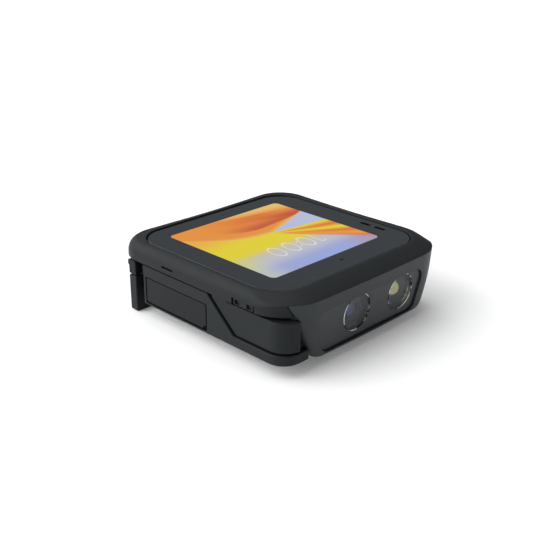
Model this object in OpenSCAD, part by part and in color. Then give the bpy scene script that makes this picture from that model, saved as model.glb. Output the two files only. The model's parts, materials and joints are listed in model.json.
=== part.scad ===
// Wearable touchscreen scanner in its hand mount.
// +Z is up, the two scan windows face -Y and the power key is on +X.
// The origin is on the surface that the mount rests on, under the middle of
// the body. All sizes are in millimetres.

/* [Terminal body] */
// Width of the upper housing, side to side
body_w = 55.8; // [55.6:0.1:56.4]
// Length of the upper housing, from the brow to the rear
body_l = 56.0; // [55.8:0.1:56.6]
// Height of the rim round the cover glass above the resting surface
body_top = 17.4; // [17.4:0.05:17.6]
// Plan radius of the upper housing's rear corners
rear_corner_r = 7.2; // [7.0:0.1:7.6]
// Plan radius of the upper housing's front corners
front_corner_r = 9.8; // [9.5:0.1:10.2]
// Radius of the shoulder between the rim and the side walls
shoulder_r = 3.0; // [2.6:0.1:3.2]
// Height of the seam under the upper housing
seam_z = 13.35; // [13.3:0.05:13.4]

/* [Display] */
// Width of the lit display area
display_w = 36.0; // [34:0.5:37]
// Length of the lit display area
display_l = 34.7; // [33:0.1:35.5]
// Width of the cover glass
glass_w = 48.8; // [48:0.1:49.2]
// Length of the cover glass
glass_l = 46.7; // [46:0.1:47]
// Thickness of the cover glass
glass_t = 1.0; // [0.8:0.1:1.1]
// How far the rim stands above the glass
rim_proud = 0.3; // [0.2:0.05:0.4]

/* [Scan nose] */
// Lean of the nose face, its foot set back from its brow, in degrees
nose_tilt = 3.7; // [3:0.1:4.5]
// Height of the brow's edge over the resting surface
ridge_z = 16.2; // [16:0.05:16.3]
// Height of the nose's foot over the resting surface
nose_foot_z = 1.8; // [1.6:0.1:2]
// Radius of the two round windows with their rings
window_r = 4.5; // [4.2:0.1:4.6]
// Distance between the two round windows
window_pitch = 15.4; // [15:0.1:15.8]
// Sideways offset of the window pair
window_offset = 2.9; // [2.4:0.1:3.1]

/* [Hand mount] */
// Width over the mount's two arms
mount_w = 55.0; // [54.8:0.1:55.2]
// Thickness of an arm
arm_t = 1.9; // [1.8:0.05:1.95]
// Height of the mount's underside over the resting surface
floor_z = 3.1; // [3:0.05:3.15]
// Thickness of the mount's floor
floor_t = 1.1; // [1.0:0.05:1.15]
// Height of the arm's top edge
arm_top = 13.0; // [12.9:0.05:13.05]
// Height of the low rail at the front corners
rail_top = 5.45; // [5.3:0.05:5.5]
// Y of the arms' rear ends
arm_rear = 18.55; // [18.3:0.05:18.7]
// Distance across the mounting screws, side to side
bolt_dx = 28; // [26:1:30]
// Distance across the mounting screws, front to back
bolt_dy = 20; // [18:1:22]

/* [Latch bail] */
// Y of the front face of the bail
bail_y = 21.1; // [21:0.05:21.2]
// Thickness of the bail, front to back
bail_t = 2.5; // [2.4:0.05:2.6]
// Height of the bail's tips
bail_top = 12.9; // [12.7:0.05:12.9]
// Height of the split between the bail and its tips
bail_split = 9.1; // [8.8:0.1:9.3]

/* [Hidden] */

$fn = 64;
hull_fn = 32;
eps = 0.01;

// Clearances: between parts that move, and between parts that are fitted
move_gap = 0.3;
fit_gap = 0.1;

// Upper housing
half_w = body_w / 2;
rear_y = body_l / 2;
ridge_y = -body_l / 2;
wall = 1.8;
brow_bow_r = 600;
glass_top = body_top - rim_proud;
glass_under = glass_top - glass_t;
ledge_z = glass_under - 0.2;
ledge_t = 1.3;
glass_y = 1.35;
glass_r = 6.8;
groove = 0.2;
display_x = -0.5;
display_y = 2.45;

// Inside the terminal
frame_under = ledge_z - ledge_t - 0.6;
board_top = 13.0;
board_t = 0.8;
speaker_ys = [-6.95, -11.4];
motor_at = [12.2, -8.4, 11.6];
motor_r = 4;

// Screw places of the housing, also used by its bosses
screw_places = [[-22.6, 19.4], [22.6, 19.4], [-22.6, -2.0], [22.6, -2.0]];

// Lower body, between the mount's arms
mount_hw = mount_w / 2;
arm_in = mount_hw - arm_t;
core_hw = arm_in - move_gap;
core_rear = 25.0;
core_r = 4.0;
core_front_r = 1.0;
core_foot = floor_z + floor_t + move_gap;
pack_top = 10.4;
pack_wall = 1.2;
block_hw = mount_hw - 0.3;
block_front = -26.9;
block_r = 4.5;
right_front = -22.5;
right_r = 3.4;
block_top = 12.6;
toe_in = arm_t + move_gap;
block_foot = rail_top + move_gap + 0.1;
bay_y = -13.5;

// The slanted edge of an arm, seen from the side
slant_top_y = -3.65;
slant_foot_y = -11.95;
slant_gap = 0.9;

// Seats of the side covers in the arms
cover_front = -3.3;
cover_foot = 3.75;
cover_top = 10.05;

// Middle of the mounting screw pattern, from front to back, and the base pad
bolt_y = 2.5;
pad_t = 0.8;

// Nose outline: half widths at the brow and at the foot
nose_brow_hw = 24.5;
nose_foot_hw = 18.4;
nose_r = 2.6;
nose_depth = 11.6;
nose_wall = 1.4;
plate_hw_top = 18.5;
plate_hw_foot = 15.7;
plate_top = 12.9;
plate_foot = 2.9;
plate_r = 2.4;
plate_t = 0.9;
plate_sink = 0.7;
nose_lip = 3.9;
nose_roof = 1.9;
skin = 0.4;
led_y = 4.6;
led_base = 0.6;
led_r = 1.4;
window_z = 8.8;
camera_x = window_offset - window_pitch / 2;
lamp_x = window_offset + window_pitch / 2;

// Keys on the +X wall: middle along Y, length, height and travel
key_z = 14.35;
key_h = 1.5;
power_key_y = 11;
power_key_l = 6.5;
scan_key_y = -3;
scan_key_l = 10;
key_proud = 0.25;
flange_t = 0.45;

// Battery latch tabs on both side walls
latch_y = -15.2;
latch_l = 5.8;
latch_h = 1.6;

// Bail hinge
pin_y = bail_y + bail_t / 2;
pin_z = 2.6;
pin_r = 0.75;
lug_x = 12;
lug_w = 4;
lug_r = 1.5;
bail_hw = mount_hw + 0.2;
bail_in = arm_in;
bar_foot = 0.1;
bar_top = 4.0;
web_top = 0.75;
bail_pad_x = 24.9;
pad_foot = 4.9;
pad_top = 8.7;

// Torsion spring: a coil round the pin and a leg under the mount's floor
spring_turns = 7;
spring_r = 1.2;
spring_wire = 0.22;
spring_half = 2.2;
spring_steps = 12;
spring_sides = 8;

// Colours
shell_black = [0.13, 0.14, 0.15];
deep_black = [0.07, 0.075, 0.08];
panel_grey = [0.19, 0.20, 0.22];
glass_grey = [0.20, 0.22, 0.24];
screen_orange = [0.95, 0.62, 0.22];
metal = [0.72, 0.73, 0.75];
board_green = [0.07, 0.28, 0.17];
gold = [0.83, 0.66, 0.30];

// ---- helpers ----

// Rounded rectangle from its corner coordinates, with true arcs
module round_rect(x0, x1, y0, y1, r) {
    translate([x0 + r, y0]) square([x1 - x0 - 2 * r, y1 - y0]);
    translate([x0, y0 + r]) square([x1 - x0, y1 - y0 - 2 * r]);
    for (x = [x0 + r, x1 - r], y = [y0 + r, y1 - r]) translate([x, y]) circle(r);
}

// Rounded plate between two heights
module slab(x0, x1, y0, y1, z0, z1, r) {
    translate([0, 0, z0]) linear_extrude(z1 - z0) round_rect(x0, x1, y0, y1, r);
}

// Deck between two heights, with its own corner radius at the front and at the rear
module deck(hw, y0, y1, z0, z1, r_front, r_rear) {
    slab(-hw, hw, y0, 12, z0, z1, r_front);
    slab(-hw, hw, -3, y1, z0, z1, r_rear);
}

// Front part of the lower body, drawn in by a margin. Its right side ends earlier than its left one
module front_slab(hw, margin, y1, z0, z1) {
    slab(-hw + margin, 9, block_front + margin, y1, z0, z1, block_r - margin);
    slab(-9, hw - margin, right_front + margin, y1, z0, z1, right_r - margin);
}

// Plain block from its corner coordinates
module block(x0, x1, y0, y1, z0, z1) {
    translate([x0, y0, z0]) cube([x1 - x0, y1 - y0, z1 - z0]);
}

// Plain block on one side, between two distances from the middle
module side_block(side, near, far, y0, y1, z0, z1) {
    block(min(side * near, side * far), max(side * near, side * far), y0, y1, z0, z1);
}

// Cylinder along X between two places
module rod_x(x0, x1, y, z, r) {
    translate([x0, y, z]) rotate([0, 90, 0]) cylinder(h = x1 - x0, r = r);
}

// Cylinder that runs inwards from the nose face, in the nose's own frame
module rod_in(x, z, y0, y1, r) {
    translate([x, y1, z]) rotate([90, 0, 0]) cylinder(h = y1 - y0, r = r);
}

// Outline drawn in X and Z, pushed inwards from y0 to y1
module push_in(y0, y1) {
    translate([0, y1, 0]) rotate([90, 0, 0]) linear_extrude(y1 - y0) children();
}

// Outline drawn in Y and Z, pushed along X from x0 to x1
module push_x(x0, x1) {
    translate([x0, 0, 0]) rotate([90, 0, 90]) linear_extrude(x1 - x0) children();
}

// The nose's own frame: origin on the brow's edge, face in the XZ plane
module on_nose() {
    translate([0, ridge_y, ridge_z]) rotate([nose_tilt, 0, 0]) children();
}
function nose_local(z) = (z - ridge_z) / cos(nose_tilt);

// Trapezoid with rounded corners, widest at the top
module taper(top_hw, foot_hw, top_z, foot_z, r) {
    slope = atan((top_hw - foot_hw) / (top_z - foot_z));
    in_top = r * tan(45 + slope / 2);
    in_foot = r * tan(45 - slope / 2);
    hull() {
        for (s = [-1, 1]) {
            translate([s * (top_hw - in_top), top_z - r]) circle(r, $fn = hull_fn);
            translate([s * (foot_hw - in_foot), foot_z + r]) circle(r, $fn = hull_fn);
        }
    }
}

// The side of the mount's arm, seen along X
module arm_side() {
    polygon([[arm_rear, floor_z], [arm_rear, arm_top], [slant_top_y, arm_top],
             [slant_foot_y, rail_top], [block_front, rail_top], [block_front, floor_z]]);
}

// What the arm leaves free for the lower body, with the gap along its edge
module arm_side_free() {
    polygon([[slant_top_y - slant_gap, seam_z], [slant_foot_y - slant_gap, block_foot],
             [block_front, block_foot], [block_front, seam_z]]);
}

// One rounded shoulder corner of the upper housing
module dome(x, y, r) {
    translate([x, y, seam_z]) rotate_extrude($fn = 48) {
        square([r, body_top - shoulder_r - seam_z]);
        square([r - shoulder_r, body_top - seam_z]);
        intersection() {
            translate([r - shoulder_r, body_top - shoulder_r - seam_z]) circle(shoulder_r, $fn = 40);
            square([r, body_top - seam_z]);
        }
    }
}

// Plan of the brow from its own edge inwards: rounded corners and a slight bow
module brow_plan() {
    intersection() {
        round_rect(-half_w, half_w, 0, 30, front_corner_r);
        translate([0, brow_bow_r]) circle(brow_bow_r, $fn = 720);
        translate([-half_w, 0]) square([body_w, 12]);
    }
}

// Nose outline, widest at the brow, with its foot corners rounded
module nose_outline(grow) {
    slope = (nose_brow_hw - nose_foot_hw) / (ridge_z - nose_foot_z);
    over = 5;
    intersection() {
        taper(nose_brow_hw + slope * over + grow, nose_foot_hw + grow, over,
              nose_local(nose_foot_z) - grow, nose_r);
        translate([-40, -40]) square([80, 40]);
    }
}

// Everything of the nose that lies below a height in its own frame
module below(z) {
    intersection() {
        children();
        translate([-40, z - 40]) square([80, 40]);
    }
}

// ---- terminal: upper housing ----

module top_housing_outer() {
    front_y = ridge_y + front_corner_r + 1.3;
    hull() {
        for (x = [-1, 1]) {
            dome(x * (half_w - rear_corner_r), rear_y - rear_corner_r, rear_corner_r);
            dome(x * (half_w - front_corner_r), front_y, front_corner_r);
        }
        translate([0, ridge_y, seam_z]) linear_extrude(ridge_z - seam_z) brow_plan();
    }
}

module key_slot(y, l) {
    block(half_w - 3.2, half_w + 1, y - l / 2 - fit_gap, y + l / 2 + fit_gap,
          key_z - key_h / 2 - fit_gap, key_z + key_h / 2 + fit_gap);
}

module latch_slot(side) {
    y0 = latch_y - latch_l / 2 - 0.5;
    y1 = latch_y + latch_l / 2 + 0.5;
    x0 = side < 0 ? -half_w - 1 : half_w - 2.6;
    block(x0, x0 + 3.6, y0, y1, seam_z - 1, seam_z + latch_h + 0.1);
}

module top_housing() {
    color(shell_black) difference() {
        union() {
            difference() {
                top_housing_outer();
                // space for the electronics
                deck(half_w - wall, ridge_y + 4.4, rear_y - wall, seam_z - 1, ledge_z - ledge_t,
                     front_corner_r - wall - 0.4, rear_corner_r - wall);
                // window in the ledge for the display
                slab(-21, 20, -17.4, 22.3, seam_z - 1, body_top, 2);
                // recess for the glass
                slab(-glass_w / 2 - groove, glass_w / 2 + groove,
                     glass_y - glass_l / 2 - groove, glass_y + glass_l / 2 + groove,
                     ledge_z, body_top + 1, glass_r + groove);
            }
            for (p = screw_places)
                translate([p[0], p[1], seam_z]) cylinder(h = ledge_z - ledge_t - seam_z, r = 1.7);
        }
        for (p = screw_places) translate([p[0], p[1], seam_z - 1]) cylinder(h = 2.0, r = 0.7);
        // seat of the nose cover
        on_nose() {
            push_in(-2, nose_lip + fit_gap) below(-0.05) nose_outline(fit_gap);
            push_in(nose_lip, nose_depth + fit_gap) below(fit_gap - nose_roof) nose_outline(fit_gap);
        }
        // sound openings and the sensor's pocket in the ledge
        for (y = speaker_ys) slab(21.3, 22.7, y - 1.7, y + 1.7, ledge_z - 2, body_top, 0.6);
        block(-1.6, 1.8, -19.6, -17.0, ledge_z - 0.9, body_top);
        // microphone slot in the -X wall
        block(-half_w - 1, -half_w + 2.5, 7.15, 11.05, 14.6, 14.95);
        key_slot(power_key_y, power_key_l);
        key_slot(scan_key_y, scan_key_l);
        for (side = [-1, 1]) latch_slot(side);
    }
}

module cover_glass() {
    color(glass_grey) difference() {
        slab(-glass_w / 2, glass_w / 2, glass_y - glass_l / 2, glass_y + glass_l / 2,
             glass_under, glass_top, glass_r);
        for (y = speaker_ys) slab(21.5, 22.5, y - 1.55, y + 1.55, glass_under - 1, glass_top + 1, 0.45);
    }
}

module glass_adhesive() {
    color(deep_black) difference() {
        slab(-glass_w / 2, glass_w / 2, glass_y - glass_l / 2, glass_y + glass_l / 2,
             ledge_z, glass_under, glass_r);
        slab(-20.6, 19.6, -17.0, 21.9, ledge_z - 1, glass_under + 1, 2);
        for (y = speaker_ys) slab(21.3, 22.7, y - 1.7, y + 1.7, ledge_z - 1, glass_under + 1, 0.6);
        block(-1.6, 1.8, -19.6, -16.5, ledge_z - 1, glass_under + 1);
    }
}

module display_module() {
    margin = 1.2;
    color(screen_orange)
        slab(display_x - display_w / 2 - margin, display_x + display_w / 2 + margin,
             display_y - display_l / 2 - margin, display_y + display_l / 2 + margin,
             ledge_z - ledge_t, glass_under, 2);
}

module display_frame() {
    color(metal) difference() {
        slab(-21.5, 21.5, -13.5, 24.5, frame_under, ledge_z - ledge_t, 2.5);
        for (p = screw_places) translate([p[0], p[1], frame_under - 1]) cylinder(h = 3, r = 2.0);
        block(16.5, 22, -14, -3.6, frame_under - 1, ledge_z);
        for (x = [-16, 0, 13]) slab(x - 4, x + 4, 17, 22, frame_under - 1, ledge_z, 1.5);
    }
}

module front_sensor() {
    color(deep_black) {
        block(-1.4, 1.6, -19.4, -17.2, ledge_z - 0.8, glass_under - 0.3);
        translate([0.1, -17.9, glass_under - 0.3]) cylinder(h = 0.3, r = 0.6);
    }
}

module speaker() {
    color(deep_black) difference() {
        slab(16.8, 24.0, -12.8, -4.4, 11.6, 14.0, 1);
        slab(18, 23.4, -12.1, -5.6, 13.5, 15, 0.6);
    }
    color(metal) slab(18, 23.4, -12.1, -5.6, 13.5, 13.7, 0.6);
}

module microphone() {
    color(gold) block(-23.9, -21.6, 7.6, 10.6, board_top, 14.0);
}

module main_board() {
    color(board_green) difference() {
        deck(24, -12.8, 23.7, board_top - board_t, board_top, core_front_r, core_r - 1.2);
        block(16.2, 26, -14, -3.8, 0, 20);
        translate([motor_at[0], motor_at[1], 0]) cylinder(h = 20, r = motor_r + 0.3);
        for (p = screw_places) translate([p[0], p[1], 0]) cylinder(h = 20, r = 2.0);
    }
    color(deep_black) for (y = [-9, -3, 3]) block(-20.5, -17.5, y, y + 3, board_top, board_top + 0.7);
}

// Pressed lid of a shield, open below
module shield(x0, x1, y0, y1, h) {
    color(metal) difference() {
        block(x0, x1, y0, y1, board_top, board_top + h);
        block(x0 + 0.2, x1 - 0.2, y0 + 0.2, y1 - 0.2, board_top - 1, board_top + h - 0.2);
    }
}

module processor_shield() { shield(-14, 1, -5, 12, 0.9); }

module radio_shield() { shield(4, 18, 0, 14, 0.9); }

module vibration_motor() {
    color(metal) translate(motor_at) cylinder(h = frame_under - motor_at[2], r = motor_r);
}

module antenna_strip() {
    color(gold) block(-16, 16, 25.2, 25.5, seam_z + 0.1, frame_under + 0.6);
    color(gold) block(-16, -14, 23.0, 25.2, seam_z + 0.1, seam_z + 0.3);
}

// ---- terminal: mid housing, the floor under the electronics ----

module mid_housing() {
    color(shell_black) difference() {
        union() {
            deck(core_hw, bay_y + 0.1, core_rear, pack_top + 0.2, seam_z, core_front_r, core_r);
            // flange round the rear corners, under the upper housing's lip
            intersection() {
                slab(-half_w + 1, half_w - 1, -10, rear_y - 1.4, 11.9, seam_z, rear_corner_r - 1);
                block(-core_hw, core_hw, 12, rear_y, 11, 14);
            }
        }
        difference() {
            deck(core_hw - 1.0, bay_y + 0.6, core_rear - 1.0, 11.4, seam_z + 1,
                 core_front_r - 0.2, core_r - 1.0);
            for (p = screw_places) translate([p[0], p[1], 11]) cylinder(h = seam_z - 11, r = 1.5);
        }
        for (p = screw_places) translate([p[0], p[1], pack_top]) {
            cylinder(h = 4, r = 0.8);
            cylinder(h = 0.8, r = 1.25);
        }
        // opening for the battery's contact block
        block(-6, 6, -6.1, -2.9, 9, 12.5);
    }
}

module housing_screws() {
    color(metal) for (p = screw_places) translate([p[0], p[1], pack_top + 0.25]) difference() {
        union() {
            cylinder(h = 0.55, r = 1.2);
            cylinder(h = 3.6, r = 0.7);
        }
        translate([0, 0, -eps]) cylinder(h = 0.35, r = 0.55, $fn = 6);
    }
}

// ---- terminal: scan nose ----

module window_outline(grow) {
    taper(plate_hw_top + grow, plate_hw_foot + grow, nose_local(plate_top) + grow,
          nose_local(plate_foot) - grow, plate_r + grow);
}

module nose_cover() {
    color(panel_grey) on_nose() difference() {
        intersection() {
            union() {
                push_in(0, nose_lip) below(-0.1) nose_outline(0);
                push_in(nose_lip - eps, nose_depth) below(-nose_roof) nose_outline(0);
            }
            translate([0, 0, -20]) linear_extrude(22) brow_plan();
        }
        push_in(plate_sink + plate_t + skin, nose_depth + 1)
            below(-nose_roof - 1.1) nose_outline(-nose_wall);
        push_in(-1, plate_sink + plate_t) window_outline(fit_gap);
        for (x = [camera_x, lamp_x]) rod_in(x, nose_local(window_z), 0, 3, window_r);
    }
}

module window_plate() {
    color(deep_black) on_nose() difference() {
        push_in(plate_sink, plate_sink + plate_t) window_outline(0);
        for (x = [camera_x, lamp_x]) rod_in(x, nose_local(window_z), 0, 3, window_r);
    }
}

module window_ring(x) {
    color(metal) on_nose() difference() {
        rod_in(x, nose_local(window_z), plate_sink - 0.1, plate_sink + plate_t + skin, window_r);
        rod_in(x, nose_local(window_z), -1, 3, window_r - 0.4);
    }
}

module camera_ring() { window_ring(camera_x); }

module lamp_ring() { window_ring(lamp_x); }

module window_disc(x) {
    color(glass_grey) on_nose()
        rod_in(x, nose_local(window_z), plate_sink + 0.1, plate_sink + 0.8, window_r - 0.4);
}

module camera_window() { window_disc(camera_x); }

module lamp_window() { window_disc(lamp_x); }

module scan_chassis() {
    color(deep_black) on_nose() difference() {
        push_in(2.2, 10.2) translate([-11.4, nose_local(4.0)]) square([28.0, 9.0]);
        rod_in(camera_x, nose_local(window_z), 0, 9.2, 3.5);
        rod_in(lamp_x, nose_local(window_z), 0, led_y + led_base, 3.9);
    }
}

module camera_barrel() {
    color(shell_black) on_nose() difference() {
        rod_in(camera_x, nose_local(window_z), 1.7, 7.8, 3.5);
        rod_in(camera_x, nose_local(window_z), 1.0, 2.6, 2.9);
        rod_in(camera_x, nose_local(window_z), 1.0, 9.0, 2.2);
    }
}

module camera_lens() {
    color([0.35, 0.35, 0.62]) on_nose() translate([camera_x, 4.0, nose_local(window_z)]) rotate([90, 0, 0])
        intersection() {
            cylinder(h = 3, r = 2.2);
            translate([0, 0, -2.6]) sphere(4.2);
        }
}

module image_sensor() {
    color(board_green) on_nose()
        translate([camera_x - 2.3, 7.9, nose_local(window_z) - 2.3]) cube([4.6, 1.0, 4.6]);
}

module lamp_reflector() {
    color(metal) on_nose() translate([lamp_x, 1.9, nose_local(window_z)]) rotate([-90, 0, 0])
        rotate_extrude()
            polygon([[3.9, 0], [3.9, 2.5], [1.6, 2.5], [1.6, 2.2], [2.6, 1.5], [3.3, 0.8], [3.6, 0]]);
}

module lamp_led() {
    color([0.85, 0.82, 0.45]) on_nose() translate([lamp_x, led_y, nose_local(window_z)]) rotate([90, 0, 0]) {
        translate([0, 0, -led_base]) cylinder(h = led_base, r = 3);
        cylinder(h = 1.2, r = led_r);
        translate([0, 0, 1.2]) intersection() {
            sphere(led_r);
            cylinder(h = 2, r = led_r);
        }
    }
}

// ---- terminal: keys and latches ----

// Key cap through the wall, with a groove on its face and a flange behind the wall
module side_key(y, l) {
    face = half_w + key_proud;
    inner = half_w - wall - 0.05;
    color(deep_black) difference() {
        union() {
            block(inner - flange_t, face, y - l / 2, y + l / 2, key_z - key_h / 2, key_z + key_h / 2);
            block(inner - flange_t, inner, y - l / 2 - 0.8, y + l / 2 + 0.8, key_z - key_h / 2, 14.5);
        }
        block(face - 0.15, face + 1, y - l / 2 + 1, y + l / 2 - 1, key_z - 0.3, key_z + 0.3);
    }
}

module power_key() { side_key(power_key_y, power_key_l); }

module scan_key() { side_key(scan_key_y, scan_key_l); }

// Small push switch just behind a key's flange
module side_switch(y) {
    color(metal) block(24.35, 25.0, y - 1.8, y + 1.8, seam_z + 0.15, 14.55);
    color(deep_black) block(25.0, 25.25, y - 0.8, y + 0.8, seam_z + 0.4, 14.3);
}

module power_switch() { side_switch(power_key_y); }

module scan_switch() { side_switch(scan_key_y); }

// Latch tab, flush with the wall, with a shallow thumb recess near each end
module latch_tab(side) {
    y0 = latch_y - latch_l / 2;
    y1 = latch_y + latch_l / 2;
    x_out = side * (half_w - 0.15);
    x_in = side * (half_w - 1.7);
    color(shell_black) difference() {
        block(min(x_out, x_in), max(x_out, x_in), y0, y1, seam_z, seam_z + latch_h - 0.1);
        for (y = [y0 + 0.5, y1 - 2.0])
            block(min(x_out, x_out - side * 0.4), max(x_out, x_out - side * 0.4) + (side > 0 ? 1 : 0),
                  y, y + 1.5, seam_z + 0.25, seam_z + latch_h + 1);
    }
}

module battery_latch_left() { latch_tab(-1); }

module battery_latch_right() { latch_tab(1); }

// ---- terminal: battery pack ----

// The pack's outer form: a core between the arms and two front cheeks
module pack_outer() {
    deck(core_hw, bay_y, core_rear, core_foot, pack_top, core_front_r, core_r);
    intersection() {
        front_slab(block_hw, 0, 10, core_foot, seam_z - 0.05);
        union() {
            push_x(-30, 30) arm_side_free();
            front_slab(mount_hw, toe_in, 0, core_foot, block_foot + 1);
        }
        union() {
            block(-40, 40, block_front - 1, 0, 0, block_top);
            block(-40, 40, -9.5, 0, 0, 20);
        }
    }
}

module battery_case() {
    color(shell_black) difference() {
        pack_outer();
        // room for the cell
        deck(core_hw - pack_wall, bay_y + pack_wall, core_rear - pack_wall, core_foot + 0.8, pack_top + 1,
             core_front_r, core_r - pack_wall);
        // cheeks are hollow and open above
        for (s = [-1, 1])
            slab(min(s * 24.2, s * 25.9), max(s * 24.2, s * 25.9),
                 (s < 0 ? block_front : right_front) + 3.4, bay_y - 0.8, block_foot + 1.0, 20, 0.6);
        // room for the middle housing and for the nose
        block(-core_hw - 0.05, core_hw + 0.05, bay_y + 0.05, 1, pack_top, 20);
        block(-23.4, 23.4, block_front - 1, bay_y - 0.8, core_foot - 1, 20);
        on_nose() push_in(-1, nose_depth + 0.4) nose_outline(0.6);
        // notches beside the bail's pads, open below so that the terminal can be lifted
        for (s = [-1, 1]) side_block(s, bail_pad_x - 0.2, 30, bail_y + 0.4, 30, core_foot - 1, pad_top + 0.2);
        // recess under the contacts
        for (x = [-6, -2, 2, 6]) block(x - 1.1, x + 1.1, 16.8, 20.2, core_foot - 1, core_foot + 0.3);
    }
}

module battery_lid() {
    color(shell_black) difference() {
        deck(core_hw - pack_wall - 0.1, bay_y + pack_wall + 0.1, core_rear - pack_wall - 0.1,
             pack_top - 0.8, pack_top, core_front_r, core_r - pack_wall - 0.1);
        block(-5, 5, -5.8, -3.2, pack_top - 2, pack_top + 1);
    }
}

module battery_cell() {
    color([0.30, 0.42, 0.62])
        slab(-22, 22, bay_y + 2.2, core_rear - 2.2, core_foot + 0.9, pack_top - 0.9, 1.5);
}

module battery_contacts() {
    color(gold) {
        for (x = [-6, -2, 2, 6]) block(x - 1, x + 1, 17, 20, core_foot + 0.05, core_foot + 0.3);
        for (x = [-4, -1.3, 1.3, 4]) block(x - 0.7, x + 0.7, -5.4, -3.6, pack_top - 0.8, pack_top + 0.7);
    }
}

// ---- hand mount ----

module mount_frame() {
    color(shell_black) difference() {
        union() {
            front_slab(mount_hw, 0, 0, floor_z, floor_z + floor_t);
            block(-mount_hw, mount_hw, -10, arm_rear, floor_z, floor_z + floor_t);
            // rail and arms
            intersection() {
                difference() {
                    union() {
                        front_slab(mount_hw, 0, 10, floor_z, arm_top);
                        block(-mount_hw, mount_hw, 0, arm_rear, floor_z, arm_top);
                    }
                    front_slab(mount_hw, arm_t, 12, floor_z - 1, arm_top + 1);
                    block(-arm_in, arm_in, 0, arm_rear + 1, floor_z - 1, arm_top + 1);
                }
                push_x(-40, 40) arm_side();
            }
            // hinge lugs
            for (s = [-1, 1]) {
                block(s * lug_x - lug_w / 2, s * lug_x + lug_w / 2, arm_rear - 1, pin_y, pin_z - 0.6,
                      floor_z + floor_t);
                rod_x(s * lug_x - lug_w / 2, s * lug_x + lug_w / 2, pin_y, pin_z, lug_r);
            }
        }
        // gap at the front for the nose
        on_nose() push_in(-3, nose_depth + 1.2) nose_outline(0.5);
        block(-20.6, 20.6, block_front - 3, -14.0, 0, floor_z + floor_t + 0.1);
        // seats of the side covers
        for (s = [-1, 1])
            side_block(s, mount_hw - 0.9, mount_hw + 1, cover_front, arm_rear - 0.9, cover_foot, cover_top);
        for (s = [-1, 1]) rod_x(s * lug_x - 3, s * lug_x + 3, pin_y, pin_z, pin_r);
        // lightening slots in the floor
        for (x = [-23.2, 21.4]) slab(x, x + 1.8, -8, 12, 0, 6, 0.8);
    }
}

module side_cover(side) {
    color(panel_grey)
        side_block(side, mount_hw - 0.9, mount_hw - 0.1, cover_front + 0.15, arm_rear - 1.0,
                   cover_foot + 0.15, cover_top - 0.15);
}

module side_cover_left() { side_cover(-1); }

module side_cover_right() { side_cover(1); }

module at_bolts() {
    for (x = [-1, 1], y = [-1, 1]) translate([x * bolt_dx / 2, bolt_y + y * bolt_dy / 2, 0]) children();
}

module adapter_plate() {
    color(shell_black) difference() {
        slab(-20, 20, -12, 17, pad_t, floor_z, 3);
        at_bolts() cylinder(h = 10, r = 1.6);
    }
}

module thread_inserts() {
    color(gold) at_bolts() difference() {
        translate([0, 0, pad_t]) cylinder(h = floor_z - pad_t, r = 1.6);
        cylinder(h = 10, r = 0.8);
    }
}

module base_pad() {
    color(deep_black) difference() {
        slab(-19, 19, -11, 16, 0, pad_t, 2.4);
        at_bolts() translate([0, 0, -1]) cylinder(h = 10, r = 1.7);
        for (y = [-2.5, 2.5, 7.5]) slab(-9, 9, y - 0.5, y + 0.5, -1, 0.3, 0.4);
    }
}

// ---- latch bail ----

// Notch in the cross bar that clears a lug or the spring
module bar_notch(x0, x1) {
    block(x0, x1, bail_y - 1, bail_y + bail_t + 1, web_top, bar_top + 1);
}

module rear_bail() {
    color(shell_black) difference() {
        union() {
            block(-bail_hw, bail_hw, bail_y, bail_y + bail_t, bar_foot, bar_top);
            for (s = [-1, 1]) {
                side_block(s, bail_in, bail_hw, bail_y, bail_y + bail_t, bar_foot, bail_split);
                side_block(s, bail_in + 0.5, bail_hw - 0.5, bail_y + 0.5, bail_y + bail_t - 0.5,
                           bail_split, bail_top - 0.8);
            }
        }
        for (s = [-1, 1]) bar_notch(s * lug_x - lug_w / 2 - 0.3, s * lug_x + lug_w / 2 + 0.3);
        bar_notch(-5, 5);
        rod_x(-16, 16, pin_y, pin_z, pin_r + 0.05);
    }
}

// Grip cap on the end of an ear, with a small lip at the back of its top
module bail_tip(side) {
    x0 = min(side * bail_in, side * bail_hw);
    x1 = max(side * bail_in, side * bail_hw);
    color(panel_grey) difference() {
        union() {
            block(x0, x1, bail_y, bail_y + bail_t, bail_split + 0.3, bail_top);
            block(x0, x1, bail_y + bail_t, bail_y + bail_t + 0.35, bail_top - 1.4, bail_top);
        }
        block(x0 + 0.5, x1 - 0.5, bail_y + 0.5, bail_y + bail_t - 0.5, bail_split, bail_top - 0.8);
    }
}

module bail_tip_left() { bail_tip(-1); }

module bail_tip_right() { bail_tip(1); }

module bail_pad(side) {
    color(deep_black)
        side_block(side, bail_pad_x, bail_in, bail_y + 0.6, bail_y + bail_t - 0.2, pad_foot, pad_top);
}

module bail_pad_left() { bail_pad(-1); }

module bail_pad_right() { bail_pad(1); }

module bail_pin() {
    color(metal) rod_x(-15.4, 15.4, pin_y, pin_z, pin_r);
}

// Points of the spring: its coil along X, then the straight leg forwards
function spring_path() = concat(
    [for (i = [0 : spring_turns * spring_steps])
        let (a = 360 * i / spring_steps + 180, share = i / (spring_turns * spring_steps))
        [spring_half * (2 * share - 1), pin_y + spring_r * sin(a), pin_z - spring_r * cos(a)]],
    [for (t = [1 : 4]) [spring_half, pin_y - t * 1.2, pin_z + spring_r - 0.3 * t]]);

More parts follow.
